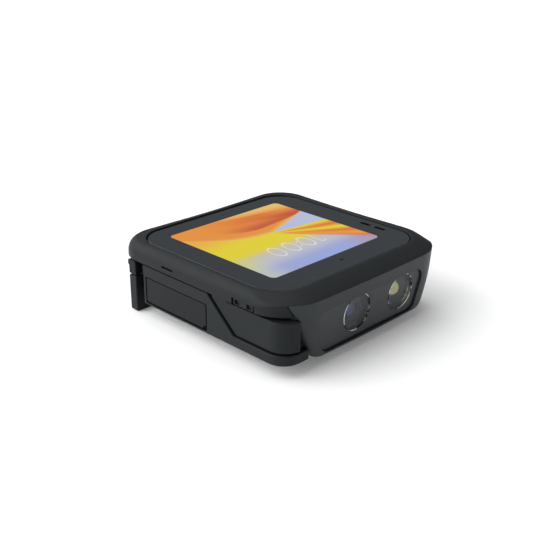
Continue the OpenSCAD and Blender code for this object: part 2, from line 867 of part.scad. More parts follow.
module bail_spring() {
    path = spring_path();
    n = len(path);
    ring = [for (i = [0 : n - 1])
        let (a = path[max(i - 1, 0)], b = path[min(i + 1, n - 1)], d = (b - a) / norm(b - a),
             u = cross(d, [1, 0, 0]) / norm(cross(d, [1, 0, 0])), v = cross(d, u))
        for (k = [0 : spring_sides - 1])
            let (w = 360 * k / spring_sides) path[i] + spring_wire * (cos(w) * u + sin(w) * v)];
    sides = [for (i = [0 : n - 2], k = [0 : spring_sides - 1])
        let (k2 = (k + 1) % spring_sides, p = i * spring_sides, q = p + spring_sides)
        [p + k, p + k2, q + k2, q + k]];
    color(metal) polyhedron(ring, concat(sides,
        [[for (k = [spring_sides - 1 : -1 : 0]) k]],
        [[for (k = [0 : spring_sides - 1]) (n - 1) * spring_sides + k]]));
}

top_housing();
cover_glass();
glass_adhesive();
display_module();
display_frame();
front_sensor();
speaker();
microphone();
main_board();
processor_shield();
radio_shield();
vibration_motor();
antenna_strip();
mid_housing();
housing_screws();
nose_cover();
window_plate();
camera_ring();
lamp_ring();
camera_window();
lamp_window();
scan_chassis();
camera_barrel();
camera_lens();
image_sensor();
lamp_reflector();
lamp_led();
power_key();
power_switch();
scan_key();
scan_switch();
battery_case();
battery_lid();
battery_cell();
battery_contacts();
battery_latch_left();
battery_latch_right();
mount_frame();
side_cover_left();
side_cover_right();
adapter_plate();
thread_inserts();
base_pad();
rear_bail();
bail_tip_left();
bail_tip_right();
bail_pad_left();
bail_pad_right();
bail_pin();
bail_spring();
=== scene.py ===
# %% [markdown]
# # A wearable touchscreen scanner in its hand mount
#
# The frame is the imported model: every piece already has its place and size
# there. This script gives the pieces their finished shapes and surfaces. It
# works in millimetres, because the real product is drawn in them, and turns
# them into metres only where a mesh is made.

# %% Load the frame
import json
import math

import bmesh
import bpy
import numpy as np
from mathutils import Matrix, Vector


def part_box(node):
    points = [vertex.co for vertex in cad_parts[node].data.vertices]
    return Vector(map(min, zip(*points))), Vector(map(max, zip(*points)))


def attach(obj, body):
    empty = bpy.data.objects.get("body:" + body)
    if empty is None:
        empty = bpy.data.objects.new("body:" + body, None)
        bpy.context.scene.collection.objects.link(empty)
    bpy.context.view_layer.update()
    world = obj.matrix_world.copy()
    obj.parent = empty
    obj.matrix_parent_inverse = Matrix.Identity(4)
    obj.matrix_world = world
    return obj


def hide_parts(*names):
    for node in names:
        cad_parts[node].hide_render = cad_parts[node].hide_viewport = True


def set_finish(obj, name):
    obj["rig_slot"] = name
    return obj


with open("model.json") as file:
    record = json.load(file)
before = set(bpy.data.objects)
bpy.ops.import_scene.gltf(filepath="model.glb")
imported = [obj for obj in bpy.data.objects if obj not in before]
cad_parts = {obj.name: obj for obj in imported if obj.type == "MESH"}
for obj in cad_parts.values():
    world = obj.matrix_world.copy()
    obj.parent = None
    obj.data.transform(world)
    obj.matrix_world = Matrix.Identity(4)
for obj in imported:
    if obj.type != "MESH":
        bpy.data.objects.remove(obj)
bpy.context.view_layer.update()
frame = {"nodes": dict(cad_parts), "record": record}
MM = 0.001


def span(node):
    """Lowest and highest corner of a frame node, in millimetres."""
    low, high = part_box(node)
    return np.array(low) / MM, np.array(high) / MM


# %% [markdown]
# ## Camera
#
# A product camera is a position on a sphere round the object: an azimuth, an
# elevation, a distance and a lens. A small roll is kept as well, because a
# camera on a tripod is seldom perfectly level.

# %% Place the camera
AIM = Vector((-4.18, -3.03, 8.7)) * MM
DISTANCE = 203.16 * MM
AZIMUTH, ELEVATION, ROLL = math.radians(-46.22), math.radians(23.65), math.radians(0.815)
LENS, SENSOR = 55.8, 36.0

away = Vector((math.sin(AZIMUTH) * math.cos(ELEVATION),
               -math.cos(AZIMUTH) * math.cos(ELEVATION), math.sin(ELEVATION)))
camera = bpy.data.objects.new("studio_camera", bpy.data.cameras.new("studio_camera"))
camera.data.lens, camera.data.sensor_width = LENS, SENSOR
camera.data.clip_start, camera.data.clip_end = 0.01, 20
turn = (-away).to_track_quat("-Z", "Y").to_matrix().to_4x4()
camera.matrix_world = Matrix.Translation(AIM + away * DISTANCE) @ turn @ Matrix.Rotation(ROLL, 4, "Z")
bpy.context.scene.collection.objects.link(camera)
bpy.context.scene.camera = camera
print("camera at", [round(v / MM, 1) for v in camera.matrix_world.translation])

# %% [markdown]
# ## Outlines with rounded corners
#
# Nearly every moulded part is a flat outline given a thickness. Its corners
# are arcs, never points, because a mould is cut with a round tool. One helper
# turns a few corner points and radii into such an outline, and also gives the
# direction that points out of the part at each place, which is what the edge
# rounding needs.

# %% Rounded outlines
HOLD = 0.05


def rounded(corners, radii, closed=True, arc=8, straight=1):
    """An outline through the corners, turned at each by an arc of its radius.

    At a corner the line leaves its incoming direction at a distance radius
    times the tangent of half the turn, and follows a circle until it has the
    outgoing direction. The outward direction is the travel direction turned a
    quarter to the right. Gives points, outward directions and how far the
    outline may be drawn in at each point before a corner folds over.
    """
    corners = np.asarray(corners, float)
    radii = np.broadcast_to(np.asarray(radii, float), len(corners))
    heading = np.roll(corners, -1, 0) - corners
    angle = np.arctan2(heading[:, 1], heading[:, 0])
    points, outward, reach = [], [], []

    def lay(place, direction, limit):
        """Adds points, the outward directions for their headings, and the drawing-in limit."""
        points.append(place)
        outward.append(np.stack([np.sin(direction), -np.cos(direction)], 1))
        reach.append(np.full(len(place), limit))

    for k in range(len(corners)):
        if not closed and k in (0, len(corners) - 1):
            direction = angle[0] if k == 0 else angle[k - 1]
            lay(corners[k][None], np.array([direction]), np.inf)
            continue
        bend = (angle[k] - angle[k - 1] + np.pi) % (2 * np.pi) - np.pi
        back = radii[k] * abs(math.tan(bend / 2))
        into = np.array([math.cos(angle[k - 1]), math.sin(angle[k - 1])])
        right = np.array([into[1], -into[0]])
        side = np.sign(bend)
        centre = corners[k] - into * back - right * radii[k] * side
        direction = angle[k - 1] + np.linspace(0, bend, arc + 1)
        away = np.stack([np.sin(direction), -np.cos(direction)], 1)
        lay(centre + away * radii[k] * side, direction, 0.95 * radii[k] if side > 0 else np.inf)
    points, outward, reach = (np.concatenate(part) for part in (points, outward, reach))
    return fill_straights(points, outward, reach, closed, straight)


def fill_straights(points, outward, reach, closed, count):
    """Adds evenly spread points to the straight stretches, and one close to each end of them.

    A stretch is straight where both its ends have the same outward direction.
    """
    after = np.roll(points, -1, 0)
    same = np.sum(outward * np.roll(outward, -1, 0), 1) > 1 - 1e-9
    length = np.linalg.norm(after - points, axis=1)
    same &= length > 4 * HOLD
    if not closed:
        same[-1] = False
    out = [[], [], []]
    for k in range(len(points)):
        out[0].append(points[k][None])
        out[1].append(outward[k][None])
        out[2].append(reach[k][None])
        if same[k]:
            end = HOLD / length[k]
            share = np.concatenate([[end], np.arange(1, count) / count, [1 - end]])
            out[0].append(points[k] + share[:, None] * (after[k] - points[k]))
            out[1].append(np.repeat(outward[k][None], len(share), 0))
            out[2].append(np.full(len(share), np.inf))
    return tuple(np.concatenate(part) for part in out)


def box_corners(low, high):
    """The four corners of a rectangle, walked anticlockwise."""
    return [(low[0], low[1]), (high[0], low[1]), (high[0], high[1]), (low[0], high[1])]


def mirrored(corners):
    """The outline's mirror image in its first coordinate, still walked anticlockwise."""
    return [(-x, y) for x, y in reversed(corners)]


# %% [markdown]
# ## From a grid of points to a solid
#
# A piece is a grid of points: rows along its profile and columns round its
# outline. Neighbouring points make the faces, and the first and last row are
# closed by one flat face each. The signed volume says whether the faces point
# outwards, so a mirrored piece is turned right way out by itself.

# %% Make a mesh from a grid
PIECES = []


def link(name, mesh):
    """Puts a mesh into the scene as an object at the origin."""
    piece = bpy.data.objects.new(name, mesh)
    bpy.context.scene.collection.objects.link(piece)
    return piece


def face_outwards(mesh):
    """Makes the faces agree with their neighbours, and turns them all if the signed volume is negative."""
    work = bmesh.new()
    work.from_mesh(mesh)
    bmesh.ops.recalc_face_normals(work, faces=work.faces)
    if work.calc_volume(signed=True) < 0:
        bmesh.ops.reverse_faces(work, faces=work.faces)
    work.to_mesh(mesh)
    work.free()


def shade(piece, crease=35):
    """Smooth shading, kept sharp where two faces meet at more than the crease angle."""
    piece.data.polygons.foreach_set("use_smooth", np.ones(len(piece.data.polygons), bool))
    piece.data.set_sharp_from_angle(angle=math.radians(crease))
    piece.data.update()


def skin(name, grid, around=True, caps=(), ring=False):
    """A solid from a grid of points in millimetres, shaped (rows, columns, 3).

    Each face joins a point with the next one in its row and the same two in
    the next row. around closes the rows on themselves, ring joins the last row
    to the first, and caps are lists of point numbers for flat end faces.
    """
    rows, columns = grid.shape[:2]
    number = np.arange(rows * columns).reshape(rows, columns)
    across = np.roll(number, -1, 1) if around else number[:, 1:]
    here = number if around else number[:, :-1]
    down = (lambda a: np.roll(a, -1, 0)) if ring else (lambda a: a[1:])
    top = (lambda a: a) if ring else (lambda a: a[:-1])
    quads = np.stack([top(here), top(across), down(across), down(here)], -1).reshape(-1, 4)
    mesh = bpy.data.meshes.new(name)
    faces = quads.tolist() + [list(cap) for cap in caps]
    mesh.from_pydata((grid.reshape(-1, 3) * MM).tolist(), [], faces)
    mesh.validate()
    face_outwards(mesh)
    piece = link(name, mesh)
    shade(piece)
    return piece


def end_caps(rows, columns):
    """Point numbers of the first row, backwards, and of the last row."""
    return list(range(columns))[::-1], list(range((rows - 1) * columns, rows * columns))


# %% [markdown]
# ## Plates with rounded edges
#
# A plate is an outline carried along a short profile: in from the lower face,
# round its edge, up the wall and round the upper edge. Even a 0.2 mm radius
# matters, because that is the line which catches the light on a real part.

# %% Plates
XY = np.array([(1, 0, 0), (0, 1, 0), (0, 0, 1)], float)
YZ = np.array([(0, 1, 0), (0, 0, 1), (1, 0, 0)], float)
XZ = np.array([(1, 0, 0), (0, 0, 1), (0, -1, 0)], float)
ORIGIN = np.zeros(3)


def edge_profile(low, high, low_edge, high_edge, steps=4):
    """Rows of (draw-in, height) from the lower face to the upper one.

    Each edge is a quarter circle: the draw-in is the radius times one less the
    sine, and the height is the radius times one less the cosine. Close
    neighbours before and after it keep the flat faces flat.
    """
    turn = np.linspace(0, np.pi / 2, steps + 1)
    lower = np.stack([low_edge * (1 - np.sin(turn)), low + low_edge * (1 - np.cos(turn))], 1)
    upper = np.stack([high_edge * (1 - np.sin(turn)), high - high_edge * (1 - np.cos(turn))], 1)[::-1]
    return np.concatenate([[(low_edge + HOLD, low)], lower, [(0, low + low_edge + HOLD)],
                           [(0, high - high_edge - HOLD)], upper, [(high_edge + HOLD, high)]])


def plate(name, outline, low, high, edge=0.2, low_edge=None, axes=XY, origin=ORIGIN):
    """A plate between two heights over a rounded outline, with rounded edges.

    The point for an outline place and a profile row is the place, drawn in
    against its outward direction, at the row's height, in the given axes.
    """
    points, outward, reach = outline
    profile = edge_profile(low, high, edge if low_edge is None else low_edge, edge)
    inset = np.minimum(profile[:, :1], reach[None, :])
    flat = points[None] - outward[None] * inset[..., None]
    height = np.broadcast_to(profile[:, 1:], inset.shape)
    grid = np.concatenate([flat, height[..., None]], -1) @ axes + origin
    return skin(name, grid, caps=end_caps(*inset.shape))


def revolve(name, profile, centre, axes=XY, count=72):
    """A turned part: a profile of (radius, height) swung once round the height axis.

    The first and last rows may have any radius, and are closed by flat faces.
    """
    profile = np.asarray(profile, float)
    turn = np.linspace(0, 2 * np.pi, count, endpoint=False)
    radius, height = profile[:, :1], np.repeat(profile[:, 1:], count, 1)
    grid = np.stack([radius * np.cos(turn), radius * np.sin(turn), height], -1) @ axes + centre
    return skin(name, grid, caps=end_caps(len(profile), count))


def soften(profile, radius, steps=3):
    """Rounds the corners of an open (radius, height) profile."""
    return rounded(profile, radius, closed=False, arc=steps)[0]


# %% [markdown]
# ## Joining and cutting
#
# Slots, seats and windows are cut as a mill would cut them: a tool shape is
# taken away from the solid. Boss and rib shapes are joined the other way.

# %% Cut and join
def combine(piece, others, operation="DIFFERENCE"):
    """Cuts the other solids out of the piece, or joins them to it, and removes them."""
    for other in others:
        modifier = piece.modifiers.new("combine", "BOOLEAN")
        modifier.operation, modifier.object, modifier.solver = operation, other, "MANIFOLD"
        bpy.context.view_layer.update()
        made = bpy.data.meshes.new_from_object(piece.evaluated_get(bpy.context.evaluated_depsgraph_get()))
        piece.modifiers.clear()
        piece.data = made
        bpy.data.objects.remove(other)
    shade(piece, 30)
    return piece


def tidy(piece, gap=0.002):
    """Merges points that a cut has left on top of each other."""
    work = bmesh.new()
    work.from_mesh(piece.data)
    bmesh.ops.remove_doubles(work, verts=work.verts, dist=gap * MM)
    bmesh.ops.dissolve_degenerate(work, edges=work.edges, dist=gap * MM)
    work.to_mesh(piece.data)
    work.free()
    return piece


def block(low, high, radius=0.1):
    """A plain tool block between two corners, for cutting."""
    outline = rounded(box_corners(low[:2], high[:2]), radius, arc=2)
    return plate("tool", outline, low[2], high[2], edge=0.01)


def place(piece, body, slot, *nodes):
    """Rides the finished piece on its body, names its finish, hides the frame nodes it stands for, and
    prints its size.
    """
    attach(piece, body)
    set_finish(piece, slot)
    if nodes:
        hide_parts(*nodes)
    PIECES.append(piece)
    corner = np.array([v.co for v in piece.data.vertices]) / MM
    print(f"{piece.name}: {len(piece.data.polygons)} faces,",
          "x", corner[:, 0].min().round(2), corner[:, 0].max().round(2),
          "y", corner[:, 1].min().round(2), corner[:, 1].max().round(2),
          "z", corner[:, 2].min().round(2), corner[:, 2].max().round(2))
    return piece


# %% [markdown]
# ## Upper housing
#
# The upper housing is one injection-moulded shell. Seen in section it has a
# short wall, a round shoulder, a narrow crest that stands a little over the
# glass, and a thin groove where the glass sits. Towards the nose the shoulder
# turns into a sloping brow with a crease. So the section is a function of the
# place along the outline: a superellipse whose exponent falls from 2, a round
# shoulder, to nearly 1, a straight slope.

# %% Sizes of the upper housing
shell_low, shell_high = span("top_housing")
glass_low, glass_high = span("cover_glass")
nose_low = span("nose_cover")[0]
HALF_WIDTH = shell_high[0]
RIM_TOP, SEAM = shell_high[2], shell_low[2]
REAR_RADIUS, BROW_RADIUS, BOW_RADIUS = 7.2, 9.8, 600.0
RIDGE_Z = 16.2
GROOVE, GLASS_RADIUS = 0.3, 6.8
LEDGE_Z = glass_low[2] - 0.2
WALL = 1.8


def blend(a, b, share):
    """Straight mix of two values."""
    return a + (b - a) * share


def smooth(value, start, end):
    """Rises from 0 to 1 between start and end, level at both, as 3t squared less 2t cubed."""
    t = np.clip((value - start) / (end - start), 0, 1)
    return t * t * (3 - 2 * t)


def front_line(x):
    """How far the brow's edge lies behind its middle at a sideways place x.

    The edge is a very flat bow, x squared over twice the bow radius, and beyond
    the start of each corner it follows that corner's circle.
    """
    past = np.clip(np.abs(x) - (HALF_WIDTH - BROW_RADIUS), 0, BROW_RADIUS)
    return x ** 2 / (2 * BOW_RADIUS) + BROW_RADIUS - np.sqrt(BROW_RADIUS ** 2 - past ** 2)


# %% Shape the upper housing
def shell_outlines():
    """Outer outline and the glass recess, with matching points."""
    outer = rounded(box_corners(shell_low, shell_high),
                    [BROW_RADIUS, BROW_RADIUS, REAR_RADIUS, REAR_RADIUS], arc=24, straight=28)[0]
    inner = rounded(box_corners(glass_low[:2] - GROOVE, glass_high[:2] + GROOVE),
                    GLASS_RADIUS + GROOVE, arc=24, straight=28)[0]
    outer[:, 1] += smooth(-outer[:, 1], 10, 28) * outer[:, 0] ** 2 / (2 * BOW_RADIUS)
    return outer, inner


def shell_section(front, gap):
    """Rows of (inset, height) for each place on the outline, from the seam round to the seam again.

    front is 0 on the sides and 1 on the brow, and gap is the distance between
    the outline and the glass recess. The shoulder is a superellipse: inset is
    its width times one less cosine to the power 2/p, height is its rise times
    sine to the power 2/p.
    """
    power = 2 / blend(2.0, 1.16, front)
    start = blend(RIM_TOP - 3.0, RIDGE_Z - 0.1, front)
    width = blend(2.35, gap - 0.75, front)
    turn = np.linspace(0, np.pi / 2, 17)[:, None]
    shoulder_in = width * (1 - np.cos(turn) ** power)
    shoulder_up = start + (RIM_TOP - start) * np.sin(turn) ** power
    lip, inner = 0.22, 3.0
    flat = np.ones_like(gap)
    rows_in = [flat * WALL, flat * (WALL - 0.15), flat * 0.25, flat * 0.07, flat * 0, flat * 0,
               *shoulder_in, gap - lip - HOLD, gap - lip, gap - lip * 0.62, gap - lip * 0.29,
               gap - lip * 0.08, gap, gap, gap, gap + inner, gap + inner, flat * WALL]
    rows_up = [flat * (SEAM + 0.05), flat * SEAM, flat * SEAM, flat * (SEAM + 0.07), flat * (SEAM + 0.25),
               flat * (SEAM + 0.3),
               *shoulder_up, flat * RIM_TOP, flat * RIM_TOP, flat * (RIM_TOP - lip * 0.08),
               flat * (RIM_TOP - lip * 0.29), flat * (RIM_TOP - lip * 0.62), flat * (RIM_TOP - lip),
               flat * (RIM_TOP - lip - HOLD), flat * LEDGE_Z, flat * LEDGE_Z, flat * (LEDGE_Z - 1.0),
               flat * (LEDGE_Z - 1.3)]
    return np.stack(rows_in), np.stack(rows_up)


def upper_shell():
    """The section carried round the outline: a point is the outline, moved in by its inset."""
    outer, inner = shell_outlines()
    across = inner - outer
    gap = np.linalg.norm(across, axis=1)
    front = smooth(-outer[:, 1], 16.0, 24.5)
    inset, height = shell_section(front, gap)
    flat = outer[None] + (across / gap[:, None])[None] * inset[..., None]
    return skin("upper_shell", np.concatenate([flat, height[..., None]], -1), ring=True)


shell = upper_shell()
print("upper shell has", len(shell.data.vertices), "points")

# %% [markdown]
# ## Nose shell
#
# The nose is a tapered box that leans back a little. Its face follows the bow
# of the brow, its side edges are rounded, and a recess takes the window plate.
# Here a plan section is carried downwards: its half width shrinks with height
# and its corners pull in at the foot.

# %% Sizes of the nose
NOSE_TILT = math.radians(3.7)
NOSE_FOOT = nose_low[2]
NOSE_BROW_HALF, NOSE_FOOT_HALF = 25.3, 18.9
NOSE_CORNER = 2.7
NOSE_SHIFT = 0.4
NOSE_DEPTH = 11.6
PLATE_SINK, PLATE_THICK = 0.7, 0.9
WINDOW_Z, WINDOW_RADIUS = 8.8, 4.5
WINDOW_XS = (-4.8, 10.6)
SEAT_DEPTH = 4.1
RIDGE_Y = shell_low[1]
nose_axes = np.array([(1, 0, 0), (0, -math.sin(NOSE_TILT), math.cos(NOSE_TILT)),
                      (0, -math.cos(NOSE_TILT), -math.sin(NOSE_TILT))])
nose_origin = np.array([0, RIDGE_Y, RIDGE_Z])


def down_face(z):
    """Place along the leaning face for a height, measured from the ridge."""
    return (z - RIDGE_Z) / math.cos(NOSE_TILT)


def nose_solid(name, grow=0.0, top=RIDGE_Z - 0.14, depth=NOSE_DEPTH, ahead=0.0):
    """The nose's outer form.

    At height z the half width is a straight line from foot to brow, less a
    quarter circle near the foot. The face lies at the bow of the brow plus the
    lean, the side edge is a quarter circle whose radius grows downwards, and
    the side wall runs straight back. The face can be moved ahead, for a cutting tool.
    """
    foot = NOSE_FOOT - grow
    down = np.linspace(0, np.pi / 2, 9)
    upper = np.linspace(top, foot + NOSE_CORNER, 22)
    z = np.concatenate([upper, foot + NOSE_CORNER * (1 - np.sin(down[1:]))])[:, None]
    corner = np.concatenate([np.zeros(len(upper)), NOSE_CORNER * (1 - np.cos(down[1:]))])[:, None]
    share = (z - NOSE_FOOT) / (RIDGE_Z - NOSE_FOOT)
    half = blend(NOSE_FOOT_HALF, NOSE_BROW_HALF, share) + grow - corner
    edge = blend(1.5, 0.8, smooth(share, 0.3, 1.0))
    belly = np.clip(1.1 - (z - foot), 0, 1.1)
    belly = 1.1 - np.sqrt(1.1 ** 2 - belly ** 2)
    face = np.linspace(-1, 1, 61)[None]
    round_ = np.linspace(0, np.pi / 2, 8)[None, 1:]
    back = np.linspace(0, 1, 5)[None, 1:]
    ones = np.ones_like(z)
    face_x = face * (half - edge)
    corner_x = half - edge + edge * np.sin(round_)
    right_x = np.concatenate([corner_x, half * np.ones_like(back)], 1)
    x = np.concatenate([-right_x[:, ::-1], face_x, right_x], 1)
    lean = math.tan(NOSE_TILT) * (RIDGE_Z - z)

    front = lean + belly - grow - ahead

    def side_y(side):
        """How far the rounded edge and the wall of one side lie behind the ridge."""
        corner_y = front_line(NOSE_SHIFT + side * corner_x) + front + edge * (1 - np.cos(round_))
        last = corner_y[:, -1:]
        return np.concatenate([corner_y, last + (depth - last) * back], 1)

    face_y = front_line(NOSE_SHIFT + face_x) + front
    y = np.concatenate([side_y(-1)[:, ::-1], face_y, side_y(1)], 1)
    grid = np.stack([x + NOSE_SHIFT, RIDGE_Y + y, z * np.ones_like(x)], -1)
    rows, columns = x.shape
    number = np.arange(rows * columns).reshape(rows, columns)
    rear = np.concatenate([number[:, 0][::-1], number[:, -1]]).tolist()
    return skin(name, grid, around=False, caps=[number[0].tolist(), number[-1][::-1].tolist(), rear])


def taper(top_half, foot_half, top_z, foot_z, radius, arc=8):
    """Outline of a trapezoid with rounded corners, in the nose's own plane."""
    corners = [(-foot_half, down_face(foot_z)), (foot_half, down_face(foot_z)),
               (top_half, down_face(top_z)), (-top_half, down_face(top_z))]
    return rounded(corners, radius, arc=arc)


def window_hole(x, radius, low=-4.0, high=2.0):
    """A round cutting tool through the nose face."""
    centre = nose_origin + np.array([x, down_face(WINDOW_Z), 0]) @ nose_axes
    return revolve("tool", [(radius, low), (radius, high)], centre, nose_axes, 96)


# %% Shape the nose shell
nose = nose_solid("nose_shell")
recess_tool = plate("tool", taper(18.7, 15.85, 13.0, 2.75, 2.5), -PLATE_SINK - PLATE_THICK, 1.0,
                    edge=0.02, low_edge=0.02, axes=nose_axes, origin=nose_origin)
hollow_tool = plate("tool", taper(21.4, 17.2, 12.6, 3.3, 1.6), -20.0, -2.0,
                    edge=0.02, axes=nose_axes, origin=nose_origin)
roof_tool = block((-30, RIDGE_Y + SEAT_DEPTH - 0.15, 14.2), (30, -8, 20))
combine(nose, [recess_tool, hollow_tool, roof_tool] + [window_hole(x, WINDOW_RADIUS) for x in WINDOW_XS])
place(tidy(nose), "terminal", "nose_plastic", "nose_cover")

window_panel = plate("window_panel", taper(18.5, 15.7, 12.9, 2.9, 2.4, arc=10), -PLATE_SINK - PLATE_THICK,
                     -PLATE_SINK, edge=0.18, low_edge=0.05, axes=nose_axes, origin=nose_origin)
combine(window_panel, [window_hole(x, WINDOW_RADIUS) for x in WINDOW_XS])
place(tidy(window_panel), "terminal", "dark_trim", "window_plate")

# %% [markdown]
# ## Openings of the upper housing
#
# The nose shell sits in a seat with a hair gap. The side walls have a slot for
# each battery latch, and one slot each for the keys and the microphone.

# %% Cut the upper housing
def side_slot(y, half_length, low_z, high_z, side, depth, radius):
    """A slot tool with round corners that enters a side wall."""
    outline = rounded(box_corners((y - half_length, low_z), (y + half_length, high_z)), radius, arc=4)
    reach = sorted([side * (HALF_WIDTH - depth), side * (HALF_WIDTH + 1)])
    return plate("tool", outline, *reach, edge=0.01, axes=YZ)


latch_low, latch_high = span("battery_latch_left")
latch_y, latch_half = (latch_low[1] + latch_high[1]) / 2, (latch_high[1] - latch_low[1]) / 2
mic_low, mic_high = span("microphone")
cuts = [nose_solid("tool", grow=0.09, top=RIDGE_Z - 0.12, depth=SEAT_DEPTH, ahead=0.6)]
cuts += [side_slot(latch_y, latch_half + 0.45, SEAM - 1, latch_high[2] + 0.05, side, 2.4, 0.15)
         for side in (-1, 1)]
cuts += [side_slot((mic_low[1] + mic_high[1]) / 2, 1.95, 14.5, 14.98, -1, 2.4, 0.2)]
for key in ("power_key", "scan_key"):
    low, high = span(key)
    cuts += [side_slot((low[1] + high[1]) / 2, (high[1] - low[1]) / 2 - 0.7, 13.5, 15.2, 1, 2.7, 0.4)]
combine(shell, cuts)
place(tidy(shell), "terminal", "shell", "top_housing")

# %% [markdown]
# ## Cover glass
#
# The glass is a flat sheet with a ground edge and two sound slots. Its dark
# border is printed on the back, and the display is bonded to it, so the
# picture seems to lie in the glass itself. The finish below draws both.

# %% Shape the cover glass
glass = plate("cover_glass_sheet", rounded(box_corners(glass_low, glass_high), GLASS_RADIUS, arc=24),
              glass_low[2], glass_high[2], edge=0.12)
SOUND_YS = (-6.95, -11.4)
slots = [plate("tool", rounded(box_corners((21.4, y - 1.6), (22.6, y + 1.6)), 0.55, arc=6),
               glass_low[2] - 1, glass_high[2] + 1, edge=0.01) for y in SOUND_YS]
combine(glass, slots)
place(tidy(glass), "terminal", "cover_glass", "cover_glass")

# %% [markdown]
# ## Scan windows, lens and lamp
#
# Behind each window is a turned part: a lens in its barrel on one side and a
# small yellow lamp in a polished dish on the other. A turned part is a profile
# swung round its axis, which is also how a lathe makes it.

# %% Turn the window parts
def on_window(name, x, profile, count=96):
    """A turned part on a window's axis, with heights measured out of the nose face."""
    centre = nose_origin + np.array([x, down_face(WINDOW_Z), 0]) @ nose_axes
    return revolve(name, profile, centre, nose_axes, count)


def tube(inner, outer, low, high, edge=0.08):
    """Closed profile of a tube, walked from the inner foot out and back to it."""
    return np.array([(inner, low), (outer - edge, low), (outer, low + edge), (outer, high - edge),
                     (outer - edge * 0.3, high - edge * 0.3), (outer - edge, high), (inner + edge, high),
                     (inner + edge * 0.3, high - edge * 0.3), (inner, high - edge)])


def turned_ring(name, x, profile, count=96):
    """A turned ring: the closed profile swung round the axis, open in the middle."""
    profile = np.asarray(profile, float)
    turn = np.linspace(0, 2 * np.pi, count, endpoint=False)
    radius, height = profile[:, :1], np.repeat(profile[:, 1:], count, 1)
    centre = nose_origin + np.array([x, down_face(WINDOW_Z), 0]) @ nose_axes
    grid = np.stack([radius * np.cos(turn), radius * np.sin(turn), height], -1) @ nose_axes + centre
    return skin(name, grid, ring=True)


camera_x, lamp_x = WINDOW_XS
ring_profile = tube(WINDOW_RADIUS - 0.26, WINDOW_RADIUS - 0.06, -2.0, -PLATE_SINK + 0.06, 0.08)
place(turned_ring("camera_ring_trim", camera_x, ring_profile), "terminal", "bright_ring", "camera_ring")
place(turned_ring("lamp_ring_trim", lamp_x, ring_profile), "terminal", "bright_ring", "lamp_ring")

pane = soften([(0.02, -1.5), (WINDOW_RADIUS - 0.3, -1.5), (WINDOW_RADIUS - 0.3, -0.85), (0.02, -0.8)], 0.1)
place(on_window("camera_pane", camera_x, pane), "terminal", "window_clear", "camera_window")
place(on_window("lamp_pane", lamp_x, pane), "terminal", "window_clear", "lamp_window")

barrel = np.array([(2.2, -7.8), (3.5, -7.8), (3.5, -1.8), (3.4, -1.7), (2.75, -1.7), (2.65, -1.8),
                   (2.6, -1.95), (2.2, -2.0), (2.15, -2.15), (1.8, -2.2), (1.7, -2.3), (1.75, -2.5),
                   (2.2, -3.1)])
place(turned_ring("lens_barrel", camera_x, barrel), "terminal", "dark_trim", "camera_barrel")
bulge = np.linspace(np.pi / 2, 0.02, 16)
dome = np.stack([2.18 * np.sin(bulge), -3.1 + 1.25 * np.cos(bulge)], 1)
lens = np.concatenate([[(0.02, -3.95), (2.18, -3.95)], dome])
place(on_window("camera_lens_dome", camera_x, lens), "terminal", "lens", "camera_lens")

dish = np.linspace(0, 1, 14)
dish = np.stack([1.65 + 1.95 * dish, -4.1 + 2.2 * dish ** 1.9], 1)
dish = np.concatenate([[(3.88, -4.4), (3.88, -1.95), (3.7, -1.9)], dish[::-1], [(1.65, -4.4)]])
place(turned_ring("lamp_dish", lamp_x, dish), "terminal", "reflector", "lamp_reflector")
chip = np.concatenate([[(0.02, -5.2), (3.0, -5.2), (3.0, -4.6), (1.6, -4.6), (1.6, -3.0)],
                       np.stack([1.6 * np.sin(bulge), -3.0 + 1.35 * np.cos(bulge)], 1)])
place(on_window("lamp_chip", lamp_x, chip), "terminal", "lamp_yellow", "lamp_led")

# %% [markdown]
# ## Walls carried along a path
#
# The mount's arms and the battery pack's cheeks are walls that run along the
# sides and turn round the front corners, and both have a slanted edge. They
# are one helper: a section with rounded edges carried along a plan path, whose
# lower and upper heights are functions of the place along that path.

# %% Walls
def walk(corners, radii, step=0.25):
    """Evenly spaced points and outward directions along a rounded path, and the distance walked."""
    points, outward, _ = rounded(corners, radii, closed=False, arc=16)
    walked = np.concatenate([[0], np.cumsum(np.linalg.norm(np.diff(points, axis=0), axis=1))])
    even = np.linspace(0, walked[-1], int(walked[-1] / step) + 1)
    ends = np.array([0.02, 0.07, 0.15, 0.3])
    even = np.sort(np.concatenate([even[1:-1], ends, walked[-1] - ends, [0, walked[-1]]]))
    along = lambda values: np.stack([np.interp(even, walked, values[:, k]) for k in (0, 1)], 1)
    outward = along(outward)
    return along(points), outward / np.linalg.norm(outward, axis=1, keepdims=True), even


def level(corners, radii):
    """A height line from a few (walked distance, height) corners, rounded, as a function of the walk."""
    line = rounded(corners, radii, closed=False, arc=8)[0]
    return lambda walked: np.interp(walked, line[:, 0], line[:, 1])


